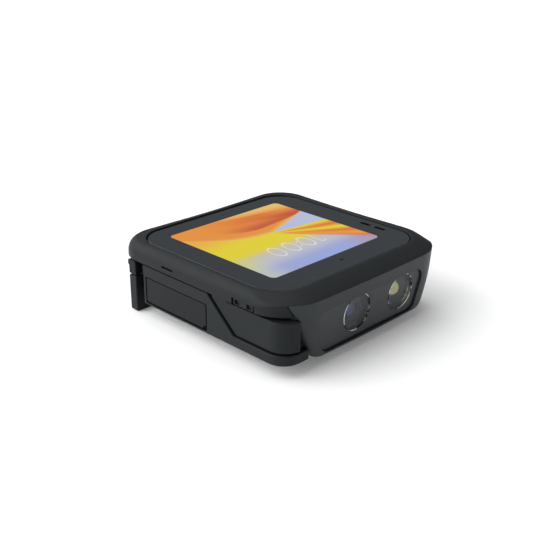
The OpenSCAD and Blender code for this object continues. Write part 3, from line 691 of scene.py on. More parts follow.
def wall(name, path, low, high, thick, edge=0.25, mirror=1):
    """A wall along a path, with a rounded rectangle as its section.

    A section point is the path moved inwards by a distance and set at a
    height. The corners are quarter circles of the edge radius, which shrinks
    where the wall is low, and the whole section shrinks over the last bit of
    each end as 1 less the cosine, so that the ends are rounded as well.
    """
    points, outward, walked = path
    near = np.minimum(walked, walked[-1] - walked)
    shrink = edge - np.sqrt(np.maximum(edge ** 2 - np.clip(edge - near, 0, edge) ** 2, 0))
    bottom, top = low(walked) + shrink, high(walked) - shrink
    outer, inner = shrink, thick - shrink
    r = np.minimum(edge, 0.45 * (top - bottom))
    turn = np.linspace(0, np.pi / 2, 5)
    c, s = np.cos(turn)[:, None], np.sin(turn)[:, None]
    flat = np.ones_like(c)
    deep = np.concatenate([outer + r - r * c, [outer + r + HOLD], [inner - r - HOLD], inner - r + r * s,
                           [inner], [inner], inner - r + r * c, [inner - r - HOLD], [outer + r + HOLD],
                           outer + r - r * s, [outer], [outer]])
    up = np.concatenate([top - r + r * s, [top], [top], top - r + r * c,
                         [top - r - HOLD], [bottom + r + HOLD],
                         bottom + r - r * s, [bottom], [bottom], bottom + r - r * c,
                         [bottom + r + HOLD], [top - r - HOLD]])
    place_ = points[None] - outward[None] * deep[..., None]
    grid = np.concatenate([place_, up[..., None]], -1).transpose(1, 0, 2) * (mirror, 1, 1)
    return skin(name, grid, caps=end_caps(*grid.shape[:2]))


# %% [markdown]
# ## Battery pack
#
# The pack is a flat core between the arms, with a cheek on each side at the
# front. The cheek's rear edge slants, and its top has a small step where the
# seam under the upper housing starts. The right cheek ends a little earlier than
# the left one, so nothing sticks out beside the nose.

# %% Shape the battery pack
case_low, case_high = span("battery_case")
mount_low, mount_high = span("mount_frame")
CHEEK_X, CHEEK_FRONT, CHEEK_RADIUS = case_low[0], case_low[1], 4.5
CHEEK_FOOT, CHEEK_TOP, STEP_Y = 5.85, 12.75, -9.5
CHEEK_END, CHEEK_THICK = -23.6, 3.2
FRONTS = {-1: (CHEEK_FRONT, CHEEK_RADIUS), 1: (-22.5, 3.4)}
SLANT_TOP, SLANT_FOOT = (-3.65, 13.0), (-11.95, 5.45)
SLANT_GAP = 0.9


def slant_y(z):
    """Y on the arm's slanted edge at a height, on the straight line through its two ends."""
    share = (z - SLANT_FOOT[1]) / (SLANT_TOP[1] - SLANT_FOOT[1])
    return blend(SLANT_FOOT[0], SLANT_TOP[0], share)


def cheek(side):
    """One cheek: its foot rises along the slanted edge, its top steps down at the seam."""
    rear = slant_y(CHEEK_TOP) - SLANT_GAP
    foot = slant_y(CHEEK_FOOT) - SLANT_GAP
    front, radius = FRONTS[side]
    path = walk([(CHEEK_X, rear), (CHEEK_X, front), (CHEEK_END, front)], [0, radius, 0])
    low = level([(0, CHEEK_TOP - 0.3), (rear - foot, CHEEK_FOOT), (40, CHEEK_FOOT)], [0, 0.5, 0])
    step = rear - STEP_Y
    high = level([(0, case_high[2]), (step - 0.15, case_high[2]),
                  (step + 0.15, CHEEK_TOP), (40, CHEEK_TOP)],
                 [0, 0.1, 0.1, 0])
    return wall(f"tool_{side}", path, low, high, CHEEK_THICK, 0.28, -side)


def deck_outline(half, front, rear, front_radius, rear_radius):
    """Plan with small radii at the front and large ones at the rear."""
    return rounded(box_corners((-half, front), (half, rear)),
                   [front_radius, front_radius, rear_radius, rear_radius], arc=14)


core_low, core_high = span("mid_housing")
CORE_HALF, CORE_REAR, CORE_RADIUS = 25.3, case_high[1], 4.0
CORE_FRONT, PACK_TOP, FLANGE_FOOT, PAD_NOTCH_X = -13.5, 10.4, 11.9, 24.7
pack = plate("battery_pack", deck_outline(CORE_HALF, CORE_FRONT, CORE_REAR, 1.2, CORE_RADIUS),
             case_low[2], PACK_TOP, edge=0.45)
combine(pack, [cheek(-1), cheek(1)], "UNION")
contact_tool = block((-7.2, 16.7, case_low[2] - 1), (7.2, 20.3, case_low[2] + 0.04), 0.4)
pad_low, pad_high = span("bail_pad_left")
pad_tools = [block((min(x, 2 * x), pad_low[1] - 0.2, case_low[2] - 1),
                   (max(x, 2 * x), 30, pad_high[2] + 0.2))
             for x in (-PAD_NOTCH_X, PAD_NOTCH_X)]
combine(pack, [contact_tool] + pad_tools)
place(tidy(pack), "terminal", "shell", "battery_case")

# %% [markdown]
# ## Middle housing
#
# The middle housing is the floor under the electronics. Only its rear flange
# and a band above the battery show, as a shadowed step under the lip of the
# upper housing.

# %% Shape the middle housing
floor_deck = plate("middle_housing", deck_outline(CORE_HALF, core_low[1], CORE_REAR, 1.2, CORE_RADIUS),
                   core_low[2], SEAM - 0.02, edge=0.3)
flange = plate("tool", deck_outline(CORE_HALF - 0.02, 12.0, core_high[1], 0.5, 2.2),
               FLANGE_FOOT, SEAM - 0.01, edge=0.3)
combine(floor_deck, [flange], "UNION")
place(tidy(floor_deck), "terminal", "shell", "mid_housing")

# %% [markdown]
# ## Hand mount
#
# The mount is a shallow tray: a floor, two arms and a low rail at each front
# corner. Each arm has a seat for an inset panel.

# %% Shape the mount
ARM_X, ARM_REAR, RAIL_END = mount_low[0], 18.55, -20.0
ARM_THICK, ARM_TOP, RAIL_TOP = 1.9, mount_high[2] - 0.12, 5.45
FLOOR_LOW, FLOOR_HIGH = 3.1, 4.2
cover_low, cover_high = span("side_cover_left")


def arm(side):
    """One arm and its rail: full height, then down the slant, then low round the corner."""
    front, radius = FRONTS[side]
    path = walk([(ARM_X, ARM_REAR), (ARM_X, front), (RAIL_END, front)], [0, radius, 0])
    high = level([(0, ARM_TOP), (ARM_REAR - SLANT_TOP[0], ARM_TOP), (ARM_REAR - SLANT_FOOT[0], RAIL_TOP),
                  (60, RAIL_TOP)], [0, 0.7, 0.9, 0])
    return wall(f"arm_{side}", path, lambda walked: np.full_like(walked, FLOOR_LOW), high,
                ARM_THICK, 0.3, -side)


tray = arm(-1)
tray.name = "mount_tray"
inner_half = -ARM_X - ARM_THICK + 0.4


def floor_side(side):
    """The floor's corners on one side, from its rear to the gap for the nose, drawn for the left."""
    inside = FRONTS[side][0] + 1.4
    return [(-inner_half, ARM_REAR), (-inner_half, inside + 3.1), (-22.6, inside),
            (-20.6, inside), (-20.6, -14.0)]


floor_corners = floor_side(-1) + mirrored(floor_side(1))
floor_radii = [0.4, 2.4, 0.9, 0.4, 1.0, 1.0, 0.4, 0.9, 2.4, 0.4]
tray_floor = plate("tool", rounded(floor_corners, floor_radii, arc=6),
                   FLOOR_LOW + 0.02, FLOOR_HIGH, edge=0.15)
combine(tray, [arm(1), tray_floor], "UNION")


def seat(side):
    """The seat for an inset panel: its outline, a little larger, sunk into the arm."""
    corners = box_corners((cover_low[1] - 0.42, cover_low[2] - 0.28),
                          (cover_high[1] + 0.17, cover_high[2] + 0.33))
    reach = sorted([side * (-ARM_X - 0.9), side * (-ARM_X + 1)])
    return plate("tool", rounded(corners, 0.45, arc=5), *reach, edge=0.02, axes=YZ)


pin_low, pin_high = span("bail_pin")
PIN_Y, PIN_Z = (pin_low[1] + pin_high[1]) / 2, (pin_low[2] + pin_high[2]) / 2
LUG_X, LUG_WIDTH = 12.0, 4.0


def lug(side):
    """A hinge lug: a tongue from the floor with a round end about the pin."""
    corners = [(ARM_REAR - 1, PIN_Z - 0.6), (PIN_Y - 0.2, PIN_Z - 1.5), (PIN_Y + 1.5, PIN_Z - 1.5),
               (PIN_Y + 1.5, PIN_Z + 1.5), (PIN_Y - 0.2, PIN_Z + 1.5), (ARM_REAR - 1, FLOOR_HIGH - 0.05)]
    outline = rounded(corners, [0.3, 0.6, 1.4, 1.4, 0.3, 0.3], arc=6)
    low = side * LUG_X - LUG_WIDTH / 2
    return plate("tool", outline, low, low + LUG_WIDTH, edge=0.2, axes=YZ)


combine(tray, [lug(-1), lug(1)], "UNION")
lightening = [plate("tool", rounded(box_corners((x, -8), (x + 1.8, 12)), 0.8), 0, 6, edge=0.01)
              for x in (-23.2, 21.4)]
combine(tray, [seat(-1), seat(1)] + lightening)
place(tidy(tray), "mount", "shell", "mount_frame")

# %% [markdown]
# ## Inset side panels
#
# Each panel is a separate, slightly lighter moulding pressed into its seat. A
# small notch at its lower front corner is where a tool lifts it out.

# %% Shape the side panels
def side_panel(side, name, node):
    """A thin plate with a notch at its lower front corner."""
    low, high = span(node)
    notch_y, notch_z = 0.9, 0.7
    corners = [(low[1] + notch_y, low[2]), (high[1], low[2]), (high[1], high[2]), (low[1], high[2]),
               (low[1], low[2] + notch_z), (low[1] + notch_y, low[2] + notch_z)]
    outline = rounded(corners, [0.3, 0.35, 0.35, 0.3, 0.25, 0.2], arc=5)
    edges = (0.18, 0.05) if side > 0 else (0.05, 0.18)
    return place(plate(name, outline, low[0], high[0], edge=edges[0], low_edge=edges[1], axes=YZ),
                 "mount", "panel_plastic", node)


side_panel(-1, "side_panel_left", "side_cover_left")
side_panel(1, "side_panel_right", "side_cover_right")

# %% [markdown]
# ## Latch bail
#
# The bail is a U of thick moulding: a bar under the terminal and an ear at
# each side. One outline seen from the rear gives the whole of it, with the
# notches that clear the hinge lugs and the spring. Separate grip caps sit on
# the ears, and a rubber pad lines the inside of each.

# %% Shape the bail
bail_low, bail_high = span("rear_bail")
EAR_IN, SPLIT, TONGUE_TOP = 25.6, 9.1, 12.0
BAR_TOP, WEB_TOP = 4.0, 0.75
notch_in, notch_out = LUG_X - LUG_WIDTH / 2 - 0.3, LUG_X + LUG_WIDTH / 2 + 0.3
half_bail = [(0, bail_low[2]), (bail_high[0], bail_low[2]), (bail_high[0], SPLIT), (EAR_IN, SPLIT),
             (EAR_IN, BAR_TOP), (notch_out, BAR_TOP), (notch_out, WEB_TOP),
             (notch_in, WEB_TOP), (notch_in, BAR_TOP), (5, BAR_TOP), (5, WEB_TOP)]
half_radii = [0, 0.5, 0.36, 0.36, 0.8, 0.4, 0.25, 0.25, 0.4, 0.4, 0.25]
whole_bail = half_bail[1:] + [(-x, z) for x, z in half_bail[:0:-1]]
whole_radii = half_radii[1:] + half_radii[:0:-1]
bail = plate("latch_bail", rounded(whole_bail, whole_radii, arc=5), -bail_high[1], -bail_low[1],
             edge=0.24, axes=XZ)


def tongue(side):
    """The narrow tongue on an ear, which goes up into its grip cap."""
    near, far = sorted([side * (EAR_IN + 0.5), side * (bail_high[0] - 0.5)])
    outline = rounded(box_corners((near, SPLIT - 1), (far, TONGUE_TOP)), 0.2)
    return plate("tool", outline, -bail_high[1] + 0.5, -bail_low[1] - 0.5, edge=0.1, axes=XZ)


combine(bail, [tongue(-1), tongue(1)], "UNION")
place(tidy(bail), "bail", "shell", "rear_bail")


def grip_cap(side, name, node):
    """A cap with a small lip at the back of its top, from its outline seen sideways."""
    low, high = span(node)
    rear = high[1] - 0.35
    corners = [(low[1], low[2]), (rear, low[2]), (rear, high[2] - 1.5), (high[1], high[2] - 1.2),
               (high[1], high[2]), (low[1], high[2])]
    outline = rounded(corners, [0.36, 0.36, 0.2, 0.3, 0.36, 0.4], arc=5)
    return place(plate(name, outline, low[0], high[0], edge=0.24, axes=YZ), "bail", "panel_plastic", node)


grip_cap(-1, "grip_cap_left", "bail_tip_left")
grip_cap(1, "grip_cap_right", "bail_tip_right")
for side in ("left", "right"):
    low, high = span(f"bail_pad_{side}")
    pad = plate(f"rubber_pad_{side}", rounded(box_corners(low[1:], high[1:]), 0.3), low[0], high[0],
                edge=0.2, axes=YZ)
    place(pad, "bail", "pad_rubber", f"bail_pad_{side}")

# %% [markdown]
# ## Keys and battery latches
#
# The keys are soft-touch caps that stand a little proud of the right wall, with
# a groove to be felt. The latch tabs lie flush in their slots and have two
# shallow recesses for a thumb nail.

# %% Shape the keys and latches
for node in ("power_key", "scan_key"):
    low, high = span(node)
    y0, y1 = low[1] + 0.8, high[1] - 0.8
    cap = plate(f"{node}_cap", rounded(box_corners((y0, low[2]), (y1, high[2])), 0.5, arc=6),
                low[0] + 0.4, high[0], edge=0.2, axes=YZ)
    groove = plate("tool", rounded(box_corners((y0 + 1.2, 14.1), (y1 - 1.2, 14.6)), 0.2),
                   high[0] - 0.15, high[0] + 1, edge=0.05, axes=YZ)
    place(tidy(combine(cap, [groove])), node, "key_plastic", node)

for side, name in ((-1, "left"), (1, "right")):
    low, high = span(f"battery_latch_{name}")
    tab = plate(f"latch_tab_{name}", rounded(box_corners((low[1], low[2]), (high[1], high[2])), 0.25),
                low[0], high[0], edge=0.15, axes=YZ)
    face = side * (HALF_WIDTH - 0.15)
    reach = sorted([face - side * 0.45, face + side])
    nails = [plate("tool", rounded(box_corners((y, low[2] + 0.25), (y + 1.4, high[2] - 0.2)), 0.2),
                   *reach, edge=0.02, axes=YZ) for y in (low[1] + 0.45, high[1] - 1.85)]
    place(tidy(combine(tab, nails)), f"latch_{name}", "shell", f"battery_latch_{name}")

# %% [markdown]
# ## Shader maths as Python
#
# A finish is a small calculation done at every place of a surface. One class
# stands for a value in it, so that a sum or a product is written as in Python
# and adds its Math node. Another holds one material and adds any other node.

# %% The shader helper
class Value:
    """The output of a shader node. Arithmetic on it adds Math nodes."""

    def __init__(self, finish, socket):
        self.finish, self.socket = finish, socket

    def math(self, operation, first, second=0.0):
        """Adds one Math node."""
        return self.finish.node("ShaderNodeMath", {"operation": operation}, {0: first, 1: second})

    def __add__(self, other):
        return self.math("ADD", self, other)

    def __sub__(self, other):
        return self.math("SUBTRACT", self, other)

    def __rsub__(self, other):
        return self.math("SUBTRACT", other, self)

    def __mul__(self, other):
        return self.math("MULTIPLY", self, other)

    def __truediv__(self, other):
        return self.math("DIVIDE", self, other)

    def __pow__(self, other):
        return self.math("POWER", self, other)

    def __abs__(self):
        return self.math("ABSOLUTE", self)

    def sine(self):
        """The sine of an angle in radians."""
        return self.math("SINE", self)

    def least(self, other):
        """The smaller of the two."""
        return self.math("MINIMUM", self, other)

    def most(self, other):
        """The larger of the two."""
        return self.math("MAXIMUM", self, other)

    __radd__, __rmul__ = __add__, __mul__


class Finish:
    """One material: its node tree, and a Principled shader at its end."""

    def __init__(self, name, **shader):
        self.material = bpy.data.materials.new(name)
        self.material.use_nodes = True
        self.tree = self.material.node_tree
        self.tree.nodes.clear()
        self.shader = self.tree.nodes.new("ShaderNodeBsdfPrincipled")
        output = self.tree.nodes.new("ShaderNodeOutputMaterial")
        self.tree.links.new(self.shader.outputs[0], output.inputs["Surface"])
        place_ = self.node("ShaderNodeTexCoord", {}, {}, "Object")
        self.mm = self.node("ShaderNodeVectorMath", {"operation": "SCALE"}, {0: place_, "Scale": 1 / MM})
        self.feed(**shader)

    def node(self, kind, settings, sockets, output=0):
        """Adds a node: first its settings, then its sockets' values or links. Gives one output."""
        made = self.tree.nodes.new(kind)
        for key, value in settings.items():
            if key == "stops":
                self.set_stops(made.color_ramp, value)
            else:
                setattr(made, key, value)
        for key, value in sockets.items():
            self.connect(made.inputs[key], value)
        return Value(self, made.outputs[output])

    def set_stops(self, ramp, stops):
        """Gives a colour ramp its stops, each a place and a colour."""
        while len(ramp.elements) < len(stops):
            ramp.elements.new(1.0)
        for element, (position, colour) in zip(ramp.elements, stops):
            element.position, element.color = position, (*colour, 1.0)

    def connect(self, socket, value):
        """Links a value to a socket, or sets the socket to a number or a colour."""
        if isinstance(value, Value):
            self.tree.links.new(value.socket, socket)
        elif isinstance(value, tuple) and len(value) == 3 and len(socket.default_value) == 4:
            socket.default_value = (*value, 1.0)
        else:
            socket.default_value = value

    def feed(self, **sockets):
        """Sets or links sockets of the Principled shader, with _ for a space in their names."""
        for key, value in sockets.items():
            self.connect(self.shader.inputs[key.replace("_", " ")], value)

    def noise(self, size, detail=2.0, **more):
        """Soft noise whose lumps are about size millimetres across."""
        sockets = {"Vector": self.mm, "Scale": 1 / size, "Detail": detail, **more}
        return self.node("ShaderNodeTexNoise", {}, sockets)

    def mix(self, share, first, second):
        """A colour between two, by share."""
        return self.node("ShaderNodeMix", {"data_type": "RGBA"}, {0: share, 6: first, 7: second}, 2)

    def ramp(self, value, start, end, kind="SMOOTHSTEP"):
        """Goes from 0 to 1 as value goes from start to end."""
        return self.node("ShaderNodeMapRange", {"interpolation_type": kind},
                         {"Value": value, "From Min": start, "From Max": end, "To Min": 0.0, "To Max": 1.0})

    def axis(self, name):
        """The X, Y or Z place on the piece, in millimetres."""
        return self.node("ShaderNodeSeparateXYZ", {}, {0: self.mm}, name)

    def bump(self, height, depth, strength=1.0):
        """Feeds a height pattern of the given depth in millimetres to the shader's normal."""
        sockets = {"Height": height, "Distance": depth * MM, "Strength": strength}
        self.feed(Normal=self.node("ShaderNodeBump", {}, sockets, "Normal"))


# %% [markdown]
# ## Moulded plastic
#
# The housings are black polycarbonate from a mould with a spark-eroded face,
# which leaves tiny round pits about a fifth of a millimetre apart. Under soft
# light this reads as a fine grain. A second, broad pattern stands for the
# slight unevenness of gloss that handling leaves.

# %% Plastic finishes
def moulded(name, colour, roughness, shine, grain=0.16, depth=0.02):
    """Grained plastic: a base colour that wanders by a few percent, and a fine pitted bump."""
    finish = Finish(name, Specular_IOR_Level=shine)
    broad = finish.noise(7.0, 3.0)
    pits = finish.node("ShaderNodeTexVoronoi", {"feature": "SMOOTH_F1"},
                       {"Vector": finish.mm, "Scale": 1 / grain, "Randomness": 1.0}, "Distance")
    fine = finish.noise(grain * 0.6, 2.0)
    pattern = pits * 0.7 + fine * 0.5
    dark = tuple(c * 0.86 for c in colour)
    light = tuple(min(1.0, c * 1.16 + 0.002) for c in colour)
    finish.feed(Base_Color=finish.mix(broad * 0.6 + fine * 0.4, dark, light),
                Roughness=finish.ramp(broad, 0.2, 0.8, "LINEAR") * 0.1 + (roughness - 0.05) + fine * 0.04)
    finish.bump(pattern, depth)
    return finish.material


def satin(name, colour, roughness, shine):
    """Smooth moulded plastic: flow marks change its gloss a little, and there is hardly any relief."""
    finish = Finish(name, Specular_IOR_Level=shine)
    broad = finish.noise(4.0, 4.0)
    fine = finish.noise(0.25, 2.0)
    dark = tuple(c * 0.9 for c in colour)
    finish.feed(Base_Color=finish.mix(broad, dark, colour), Roughness=broad * 0.1 + roughness)
    finish.bump(fine, 0.006)
    return finish.material


def rubber(name, colour):
    """Soft-touch rubber: matt, with a dusty grain."""
    finish = Finish(name)
    grain = finish.noise(0.12, 3.0)
    dust = finish.noise(3.0, 4.0)
    finish.feed(Base_Color=finish.mix(dust * 0.5 + grain * 0.3, colour, tuple(c * 1.6 for c in colour)),
                Roughness=grain * 0.12 + 0.72)
    finish.bump(grain, 0.02)
    return finish.material


# %% [markdown]
# ## The picture in the display
#
# The display shows a plain, made-up background of soft waves and a clock. The
# waves are height lines: a place is on one side or the other of a curve in the
# display's own coordinates, which run from 0 to 1 across and up. Thin digits
# are rings and bars at a distance from a few centres.

# %% Display picture
display_low, display_high = span("display_module")
MARGIN = 1.2
SCREEN_LOW, SCREEN_HIGH = display_low + MARGIN, display_high - MARGIN
ORANGE, DEEP_ORANGE, RED_ORANGE = (0.93, 0.33, 0.045), (0.84, 0.21, 0.03), (0.62, 0.085, 0.03)
YELLOW, LIME = (0.90, 0.74, 0.03), (0.78, 0.76, 0.06)
LAVENDER, PALE_BLUE, MAUVE = (0.40, 0.45, 0.78), (0.52, 0.60, 0.84), (0.52, 0.34, 0.40)
BLUE = (0.33, 0.45, 0.90)
PALE_GREEN = (0.62, 0.68, 0.58)


def waves(finish, u, v):
    """Colour of the background at u across and v up, both from 0 to 1.

    Starts from a gradient from lavender at the foot to yellow, then lays a fan
    of slanting bands, a pale wedge, an orange wave and red-orange folds over
    it, each inside its own soft-edged curve. The fan is read by its slope: how
    far a place lies below the wedge's tip, over how far it lies beside it.
    """
    mix, ramp = finish.mix, finish.ramp
    ground = mix(ramp(v, 0.20, 0.42), LAVENDER, YELLOW)
    ground = mix(ramp(v, 0.08, 0.23) * ramp(v, 0.38, 0.24) * 0.6, ground, (0.72, 0.70, 0.66))
    ground = mix(ramp(v, 0.14, 0.0) * ramp(u, 0.2, 0.4) * ramp(u, 0.8, 0.6) * 0.7, ground, BLUE)
    ground = mix(ramp(u, 0.22, 0.0) * ramp(v, 0.50, 0.20) * 0.8, ground,
                 mix(ramp(v, 0.08, 0.36), PALE_GREEN, LIME))
    ground = mix(ramp(v, 0.50, 0.84) * ramp(u, 0.62, 0.10), ground, (0.94, 0.46, 0.06))
    ground = mix(ramp(u, 0.70, 1.0) * ramp(v, 0.24, 0.04) * 0.7, ground, MAUVE)
    beside = u - 0.52
    slope = (0.565 - v) / beside
    streaks = (slope * 17.0 + u * 2.0).sine() * 0.5 + 0.5
    fan = mix(streaks, mix(ramp(slope, 0.5, 1.0), YELLOW, ORANGE),
              mix(ramp(u, 0.6, 0.95), ORANGE, DEEP_ORANGE))
    ground = mix(ramp(slope, 1.22, 1.0) * ramp(u, 0.535, 0.63) * ramp(v, 0.02, 0.10), ground, fan)
    ground = mix(ramp(slope, 0.16, 0.12) * ramp(u, 0.545, 0.56), ground,
                 mix(ramp(u, 0.6, 1.0), PALE_BLUE, (0.56, 0.60, 0.84)))
    left, right = (u - 0.56).least(0.0), (u - 0.56).most(0.0)
    crest = left * left * 0.85 + right * 0.39 + 0.565
    above = v - crest
    petal = mix(ramp(above, 0.0, 0.05), (0.93, 0.55, 0.12), ORANGE)
    petal = mix(ramp(above, 0.06, 0.30) * ramp(u, 0.15, 0.70) * 0.9, petal, DEEP_ORANGE)
    colour = mix(ramp(above, -0.012, 0.010), ground, petal)
    inside = ramp(above, 0.0, 0.02)
    fold = v - (left * left * 1.1 - right * -0.10 + 0.67)
    band = ramp(fold, -0.012, 0.02) * ramp(fold, 0.16, 0.02) * ramp(u, 0.22, 0.55)
    colour = mix(band * inside * 0.9, colour, RED_ORANGE)
    second = v - (left * left * 1.2 - right * 0.32 + 0.83)
    band = ramp(second, -0.01, 0.012) * ramp(second, 0.15, 0.0) * ramp(u, 0.36, 0.60)
    colour = mix(band * inside, colour, mix(ramp(u, 0.5, 0.95), DEEP_ORANGE, RED_ORANGE))
    third = v - (1.0 - (u - 0.30) * 0.20)
    colour = mix(ramp(third, -0.02, 0.02) * ramp(u, 0.30, 0.55) * inside, colour,
                 mix(ramp(third, 0.0, 0.08), (0.93, 0.42, 0.08), (0.92, 0.60, 0.16)))
    return colour


DIGIT_Y, DIGIT_WIDE, DIGIT_TALL = -4.8, 1.5, 2.75
ZERO_XS, COLON_X, ONE_X = (-7.1, -2.4, 2.6), 0.2, 5.7
STROKE = 0.16


def clock(finish, x, y):
    """How white a place is: 1 on the strokes of a thin 10:00, and 0 off them.

    A zero is an ellipse ring: the distance from the ring is the length of
    (x/width, y/height), less 1, times the width. The one is a bar with a short
    flag, and the colon is two dots.
    """
    def within(distance, half):
        """1 where a distance is less than half a stroke, with a soft edge."""
        return finish.ramp(distance, half + 0.07, half - 0.07)

    rows = y - DIGIT_Y
    marks = []
    for centre in ZERO_XS:
        ring = (((x - centre) / DIGIT_WIDE) ** 2.0 + (rows / DIGIT_TALL) ** 2.0) ** 0.5
        marks.append(within(abs(ring - 1.0) * DIGIT_WIDE, STROKE))
    marks.append(within(abs(x - ONE_X), STROKE) * within(abs(rows), DIGIT_TALL))
    flag = abs(rows + DIGIT_TALL - 0.12 - (x - ONE_X) * 0.3)
    marks.append(within(flag, STROKE) * within(abs(x - ONE_X - 0.8), 0.85))
    for height in (-0.9, 0.9):
        dot = ((x - COLON_X) ** 2.0 + (rows - height) ** 2.0) ** 0.5
        marks.append(within(dot, 0.3))
    total = marks[0]
    for mark in marks[1:]:
        total = total.most(mark)
    return total


def screen_colour(finish):
    """The picture's colour, and 1 inside the lit area's rounded rectangle."""
    x, y = finish.axis("X"), finish.axis("Y")
    u = (x - SCREEN_LOW[0]) / (SCREEN_HIGH[0] - SCREEN_LOW[0])
    v = (y - SCREEN_LOW[1]) / (SCREEN_HIGH[1] - SCREEN_LOW[1])
    picture = finish.mix(clock(finish, x, y) * 0.6, waves(finish, u, v), (0.97, 0.96, 0.92))
    middle = (SCREEN_LOW + SCREEN_HIGH) / 2
    half = (SCREEN_HIGH - SCREEN_LOW) / 2
    radius = 1.3

    def beyond(value, centre, reach):
        """How far a place lies past the straight part of an edge."""
        return (abs(value - centre) - (reach - radius)).most(0.0)

    over = (beyond(x, middle[0], half[0]) ** 2.0 + beyond(y, middle[1], half[1]) ** 2.0) ** 0.5
    return picture, finish.ramp(over, radius + 0.06, radius - 0.06)


# %% [markdown]
# ## Glass
#
# The cover glass is printed dark grey on its back around the display. The
# print has a faint speckle, and the polished surface reflects the studio. The
# lit picture is an emission under the same polish.

# %% Glass finishes
def screen_glass(name, glow):
    """Polished glass with a printed border, a small sensor window and the lit picture.

    The cut edges of the glass and of its slots are blackened, as on the real part.
    """
    finish = Finish(name, Roughness=0.08, IOR=1.5, Emission_Strength=glow)
    picture, lit = screen_colour(finish)
    x, y = finish.axis("X"), finish.axis("Y")
    dot = (((x - 0.1) ** 2.0) + ((y + 17.9) ** 2.0)) ** 0.5
    sensor = finish.ramp(dot, 0.62, 0.5)
    speckle = finish.noise(0.3, 2.0)
    border = finish.mix(speckle, (0.026, 0.030, 0.034), (0.033, 0.038, 0.042))
    border = finish.mix(sensor, border, (0.004, 0.004, 0.008))
    border = finish.mix(finish.ramp(finish.axis("Z"), glass_high[2] - 0.1, glass_high[2] - 0.25), border,
                        (0.001, 0.001, 0.001))
    finish.feed(Base_Color=finish.mix(lit, border, (0.01, 0.01, 0.01)),
                Emission_Color=finish.mix(lit, (0.0, 0.0, 0.0), picture))
    return finish.material


def clear_glass(name, tint, alpha):
    """A thin clear pane: mostly see-through, with a polished surface and faint dust."""
    finish = Finish(name, Alpha=alpha, IOR=1.5)
    dust = finish.noise(1.2, 4.0)
    finish.feed(Base_Color=finish.mix(dust, tint, tuple(min(1, c * 1.25) for c in tint)),
                Roughness=dust * 0.06 + 0.02)
    return finish.material


def lens_painted_sheen(name):
    """A coated lens: dark, with a painted violet-blue sheen on its left side, where the key light falls."""
    finish = Finish(name, IOR=1.7, Coat_Weight=1.0, Coat_Roughness=0.02)
    x, z = finish.axis("X"), finish.axis("Z")
    # side is 1 on the lens's left and 0 on its right; the violet-blue mixed in there is a painted sheen
    # that stands in for the coating's reflection, not the lens's own colour.
    side = finish.ramp(x - camera_x, 1.6, -1.0)
    fine = finish.noise(0.6, 2.0)
    finish.feed(Base_Color=finish.mix(side * (fine * 0.2 + 0.8), (0.012, 0.011, 0.03), (0.32, 0.30, 0.95)),
                Roughness=finish.ramp(z, 6.0, 12.0) * 0.03 + 0.04)
    return finish.material


# %% [markdown]
# ## Metals, board and other inner finishes
#
# The parts inside are seldom seen, but each is a real material: brushed or pressed steel, gilt contacts, a
# lacquered board, a printed cell wrap. The turned window rings are different: their colour carries painted
# glints.

# %% Metal and inner finishes
def metal(name, colour, roughness, brush=0.0):
    """Metal with fine marks, drawn out along X where it is brushed."""
    finish = Finish(name, Metallic=1.0)
    stretched = finish.node("ShaderNodeVectorMath", {"operation": "MULTIPLY"},
                            {0: finish.mm, 1: (1.0 - 0.95 * brush, 1.0, 1.0)})
    marks = finish.node("ShaderNodeTexNoise", {}, {"Vector": stretched, "Scale": 6.0, "Detail": 4.0})
    finish.feed(Base_Color=finish.mix(marks, tuple(c * 0.82 for c in colour), colour),
                Roughness=marks * 0.16 + roughness)
    finish.bump(marks, 0.004)
    return finish.material


def ring_painted_glints(name):
    """A thin metal ring with painted glints: by a noise over a millimetre or two, its base colour jumps
    between near black and bright, standing in for broken highlights.
    """
    finish = Finish(name, Metallic=1.0)
    # share picks the bright or the near-black colour: painted glints and painted dark patches that stand in
    # for the ring's reflections.
    share = finish.ramp(finish.noise(1.6, 2.0), 0.44, 0.62)
    finish.feed(Base_Color=finish.mix(share, (0.015, 0.016, 0.018), (0.85, 0.86, 0.88)),
                Roughness=share * -0.25 + 0.4)
    return finish.material


def lacquer(name, colour, line_colour, pitch):
    """Lacquered board or wrap: fine printed lines over a glossy ground."""
    finish = Finish(name, Coat_Weight=0.4, Coat_Roughness=0.15)
    lines = finish.node("ShaderNodeTexWave", {"bands_direction": "DIAGONAL"},
                        {"Vector": finish.mm, "Scale": 1 / pitch, "Distortion": 2.0})
    finish.feed(Base_Color=finish.mix(finish.ramp(lines, 0.75, 0.85), colour, line_colour),
                Roughness=finish.noise(2.0) * 0.1 + 0.3)
    return finish.material


def lamp_phosphor(name):
    """A small yellow lamp chip: a phosphor dome with paler spots."""
    finish = Finish(name, Emission_Strength=0.7)
    spots = finish.noise(0.25, 3.0)
    colour = finish.mix(spots, (0.75, 0.72, 0.22), (0.88, 0.86, 0.50))
    finish.feed(Base_Color=colour, Emission_Color=colour, Roughness=spots * 0.1 + 0.3)
    return finish.material


